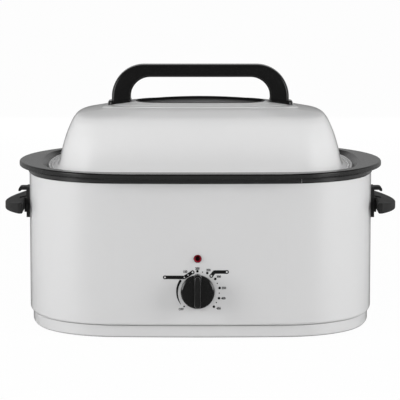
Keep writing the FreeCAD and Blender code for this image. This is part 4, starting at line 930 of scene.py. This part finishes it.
def add_stripe(points, faces, path, widths):
    """A stripe along a path in the panel, with a width at each of the path's points."""
    start = len(points)
    for index, ((x, z), width) in enumerate(zip(path, widths)):
        before, after = path[max(index - 1, 0)], path[min(index + 1, len(path) - 1)]
        along = Vector((after[0] - before[0], after[1] - before[1])).normalized()
        across = Vector((-along.y, along.x)) * (width / 2)
        points.append(on_panel(x - across.x, z - across.y))
        points.append(on_panel(x + across.x, z + across.y))
    for here in range(start, len(points) - 2, 2):
        faces.append((here, here + 2, here + 3, here + 1))


def along_path(corners):
    """Points along straight runs, close enough to follow the casing's curve."""
    path = []
    for (from_x, from_z), (to_x, to_z) in zip(corners, corners[1:]):
        count = max(2, math.ceil(math.hypot(to_x - from_x, to_z - from_z) / BAR_PITCH))
        for step in range(count):
            share = step / count
            path.append((from_x + (to_x - from_x) * share, from_z + (to_z - from_z) * share))
    path.append(corners[-1])
    return path


def print_dial_marks():
    """The screen print round the knob: dots, a tapering arc and two plain bars with ringed ends."""
    points, faces = [], []
    for x, z in FIGURE_DOTS:
        add_spot(points, faces, x, z, FIGURE_DOT_RADIUS)
    for x, z in BETWEEN_DOTS:
        add_spot(points, faces, x, z, BETWEEN_DOT_RADIUS)
    add_spot(points, faces, *OFF_DOT, OFF_DOT_RADIUS)
    add_stripe(points, faces, [bearing(turn) for turn in spread(*ARC_TURNS, ARC_PLACES)],
               [ARC_WIDTH * (1 - place / (ARC_PLACES - 1)) ** ARC_TAPER + ARC_TIP_WIDTH
                for place in range(ARC_PLACES)])
    for corners in BARS:
        path = along_path(corners)
        add_stripe(points, faces, path, [BAR_WIDTH] * len(path))
    for x, z in RINGED_ENDS:
        add_ring(points, faces, x, z)
    make_piece("dial_print_marks", (points, faces), "base", "trim_black", (), PRINT_CREASE,
               "dial_print")
    points, faces = [], []
    for x, z in BAR_SPOTS:
        add_spot(points, faces, x, z, BAR_SPOT_RADIUS, SPOT_PROUD)
    for x, z in RINGED_ENDS:
        add_spot(points, faces, x, z, RING_INNER, SPOT_PROUD)
    make_piece("dial_print_lights", (points, faces), "base", "casing_paint", (), PRINT_CREASE)


def print_dial_figures():
    """The plain figures of the dial, laid on the casing's curve."""
    for text, x, z in FIGURES:
        writing = bpy.data.curves.new("figure", "FONT")
        writing.body = text
        writing.size = FIGURE_SIZE
        writing.align_x = "CENTER"
        writing.align_y = "CENTER"
        writing.offset = FIGURE_WEIGHT
        writing.resolution_u = 4
        holder = bpy.data.objects.new("figure", writing)
        bpy.context.scene.collection.objects.link(holder)
        bpy.context.view_layer.update()
        drawn = bpy.data.meshes.new_from_object(holder)
        points = [on_panel(x + vertex.co.x * FIGURE_NARROWING, z + vertex.co.y)
                  for vertex in drawn.vertices]
        faces = [tuple(face.vertices) for face in drawn.polygons]
        bpy.data.objects.remove(holder)
        bpy.data.meshes.remove(drawn)
        make_piece("dial_figure_" + text, (points, faces), "base", "trim_black", (),
                   PRINT_CREASE, "dial_print")


press_lid()
make_lid_handle()
make_handle_foot("bail_foot_right", 1, "lid_handle_foot_right")
make_handle_foot("bail_foot_left", -1, "lid_handle_foot_left")
make_knob_disc()
make_knob_bar()
make_knob_pointer()
print_dial_marks()
print_dial_figures()


# ------------------------------------------------------------------ studio, in metres
# strengths: the light of the room, and what is seen of the room in reflections
ROOM_LIGHT = 0.34
DARK_SIDE = 0.06
CEILING = 0.35
FLOOR_MIRRORED = 0.32
BACKDROP_MIRRORED = 0.40
SIDE_GLOW = 3.5
# where reflections turn from the dark side to the backdrop, on the floor and in the world, from
# the walls to the ceiling, sideways to a side lamp's glow, and from that glow to the backdrop
FLOOR_TURN = (-0.4, 0.5)
BACKDROP_TURN = (-0.35, 0.45)
CEILING_TURN = (0.30, 0.62)
GLOW_TURN = (0.78, 0.90)
GLOW_END = (-0.22, -0.12)
# the rest of what the eye sees of the floor is the floor itself, with the object's shadow on it
FLOOR_GLOW_SHARE = 0.975
FLOOR_PAINT = 0.85
FLOOR_ROUGHNESS = 0.9
FLOOR_CORNERS = ((-30, -1.3, 0), (30, -1.3, 0), (30, 60, 0), (-30, 60, 0))

# name, place, width, height and power in watts of each lamp; all of them face one place
LAMP_AIM = (0, 0, 0.2)
SOFTBOXES = (
    ("left_softbox", (-2.45, -1.0, 0.8), 0.55, 1.5, 44),
    ("right_softbox", (2.45, -1.0, 0.8), 0.55, 1.5, 42),
    ("front_left_softbox", (-1.2, -3.1, 1.4), 1.2, 1.0, 13.5),
    ("front_right_softbox", (1.2, -3.1, 1.4), 1.2, 1.0, 13.5),
    ("back_softbox", (0, 3.2, 0.5), 2.4, 0.8, 20),
)

# the frame is 400 points wide, and the lens and the camera's shift are given in such points
FRAME_POINTS = 400
LENS_POINTS = 2386
CAMERA_SHIFT_POINTS = -0.35
SENSOR_WIDTH = 36.0
# the camera's place, in millimetres as the object is, and its downward tilt in radians
CAMERA_PLACE = (0, -3700, 680)
CAMERA_TILT = 0.1327


def pale_for_sight(tree):
    """1 for what the eye, a reflection or a view through glass meets, 0 for light that falls on
    the object; and the kinds of ray."""
    rays = tree.nodes.new("ShaderNodeLightPath").outputs
    seen = add_math(tree, "MAXIMUM", rays["Is Glossy Ray"], rays["Is Transmission Ray"])
    return add_math(tree, "MAXIMUM", rays["Is Camera Ray"], seen), rays


def make_floor():
    """A plain pale floor that keeps the object's shadow; in reflections it is dark in front."""
    mesh = bpy.data.meshes.new("studio_floor")
    mesh.from_pydata(FLOOR_CORNERS, [], [(0, 1, 2, 3)])
    material, tree, shader = blank_finish("studio floor")
    shader.inputs["Base Color"].default_value = (*grey(FLOOR_PAINT), 1)
    shader.inputs["Roughness"].default_value = FLOOR_ROUGHNESS
    glow = tree.nodes.new("ShaderNodeEmission")
    blend = tree.nodes.new("ShaderNodeMixShader")
    seen, rays = pale_for_sight(tree)
    in_mirror = rays["Is Glossy Ray"]
    mirrored = add_range(tree, add_split_place(tree)["Y"], *FLOOR_TURN, DARK_SIDE, FLOOR_MIRRORED)
    tree.links.new(add_range(tree, in_mirror, 0, 1, 1.0, mirrored), glow.inputs["Strength"])
    share = add_range(tree, in_mirror, 0, 1, FLOOR_GLOW_SHARE, 1.0)
    tree.links.new(add_math(tree, "MULTIPLY", seen, share), blend.inputs["Fac"])
    tree.links.new(shader.outputs["BSDF"], blend.inputs[1])
    tree.links.new(glow.outputs["Emission"], blend.inputs[2])
    tree.links.new(blend.outputs["Shader"], tree.nodes["Material Output"].inputs["Surface"])
    mesh.materials.append(material)
    floor = bpy.data.objects.new("studio_floor", mesh)
    bpy.context.scene.collection.objects.link(floor)


def make_world():
    """A studio of white cloth: white for the eye and through glass. In reflections the backdrop
    is grey, the camera's side dark, the ceiling dim, and a mild glow stands for each side lamp."""
    world = bpy.data.worlds.new("studio")
    bpy.context.scene.world = world
    world.use_nodes = True
    tree = world.node_tree
    background = tree.nodes["Background"]
    background.inputs["Color"].default_value = (1, 1, 1, 1)
    seen, rays = pale_for_sight(tree)
    direction = add_split_place(tree, "Generated")
    backdrop = add_range(tree, direction["Y"], *BACKDROP_TURN, DARK_SIDE, BACKDROP_MIRRORED)
    ceiling = add_range(tree, direction["Z"], *CEILING_TURN, 1.0, CEILING)
    sideways = add_range(tree, add_math(tree, "ABSOLUTE", direction["X"]), *GLOW_TURN,
                         0.0, SIDE_GLOW)
    in_front = add_range(tree, direction["Y"], *GLOW_END, 1.0, 0.0)
    mirrored = add_math(tree, "MAXIMUM", add_math(tree, "MULTIPLY", backdrop, ceiling),
                        add_math(tree, "MULTIPLY", sideways, in_front))
    straight = add_math(tree, "MAXIMUM", rays["Is Camera Ray"], rays["Is Transmission Ray"])
    shown = add_math(tree, "MAXIMUM", mirrored, straight)
    tree.links.new(add_range(tree, seen, 0, 1, ROOM_LIGHT, shown), background.inputs["Strength"])


def add_softbox(name, place, width, height, power):
    light = bpy.data.lights.new(name, "AREA")
    light.shape = "RECTANGLE"
    light.size = width
    light.size_y = height
    light.energy = power
    lamp = bpy.data.objects.new(name, light)
    bpy.context.scene.collection.objects.link(lamp)
    lamp.location = place
    lamp.visible_camera = False
    lamp.visible_glossy = False
    lamp.rotation_euler = (Vector(LAMP_AIM) - Vector(place)).to_track_quat("-Z", "Y").to_euler()


def make_camera():
    data = bpy.data.cameras.new("studio_camera")
    data.sensor_width = SENSOR_WIDTH
    data.lens = SENSOR_WIDTH * LENS_POINTS / FRAME_POINTS
    data.shift_x = CAMERA_SHIFT_POINTS / FRAME_POINTS
    camera = bpy.data.objects.new("studio_camera", data)
    bpy.context.scene.collection.objects.link(camera)
    camera.location = at(*CAMERA_PLACE)
    camera.rotation_euler = (math.pi / 2 - CAMERA_TILT, 0, 0)
    bpy.context.scene.camera = camera


make_floor()
make_world()
make_camera()
for softbox in SOFTBOXES:
    add_softbox(*softbox)

bpy.context.scene.view_settings.view_transform = "Standard"
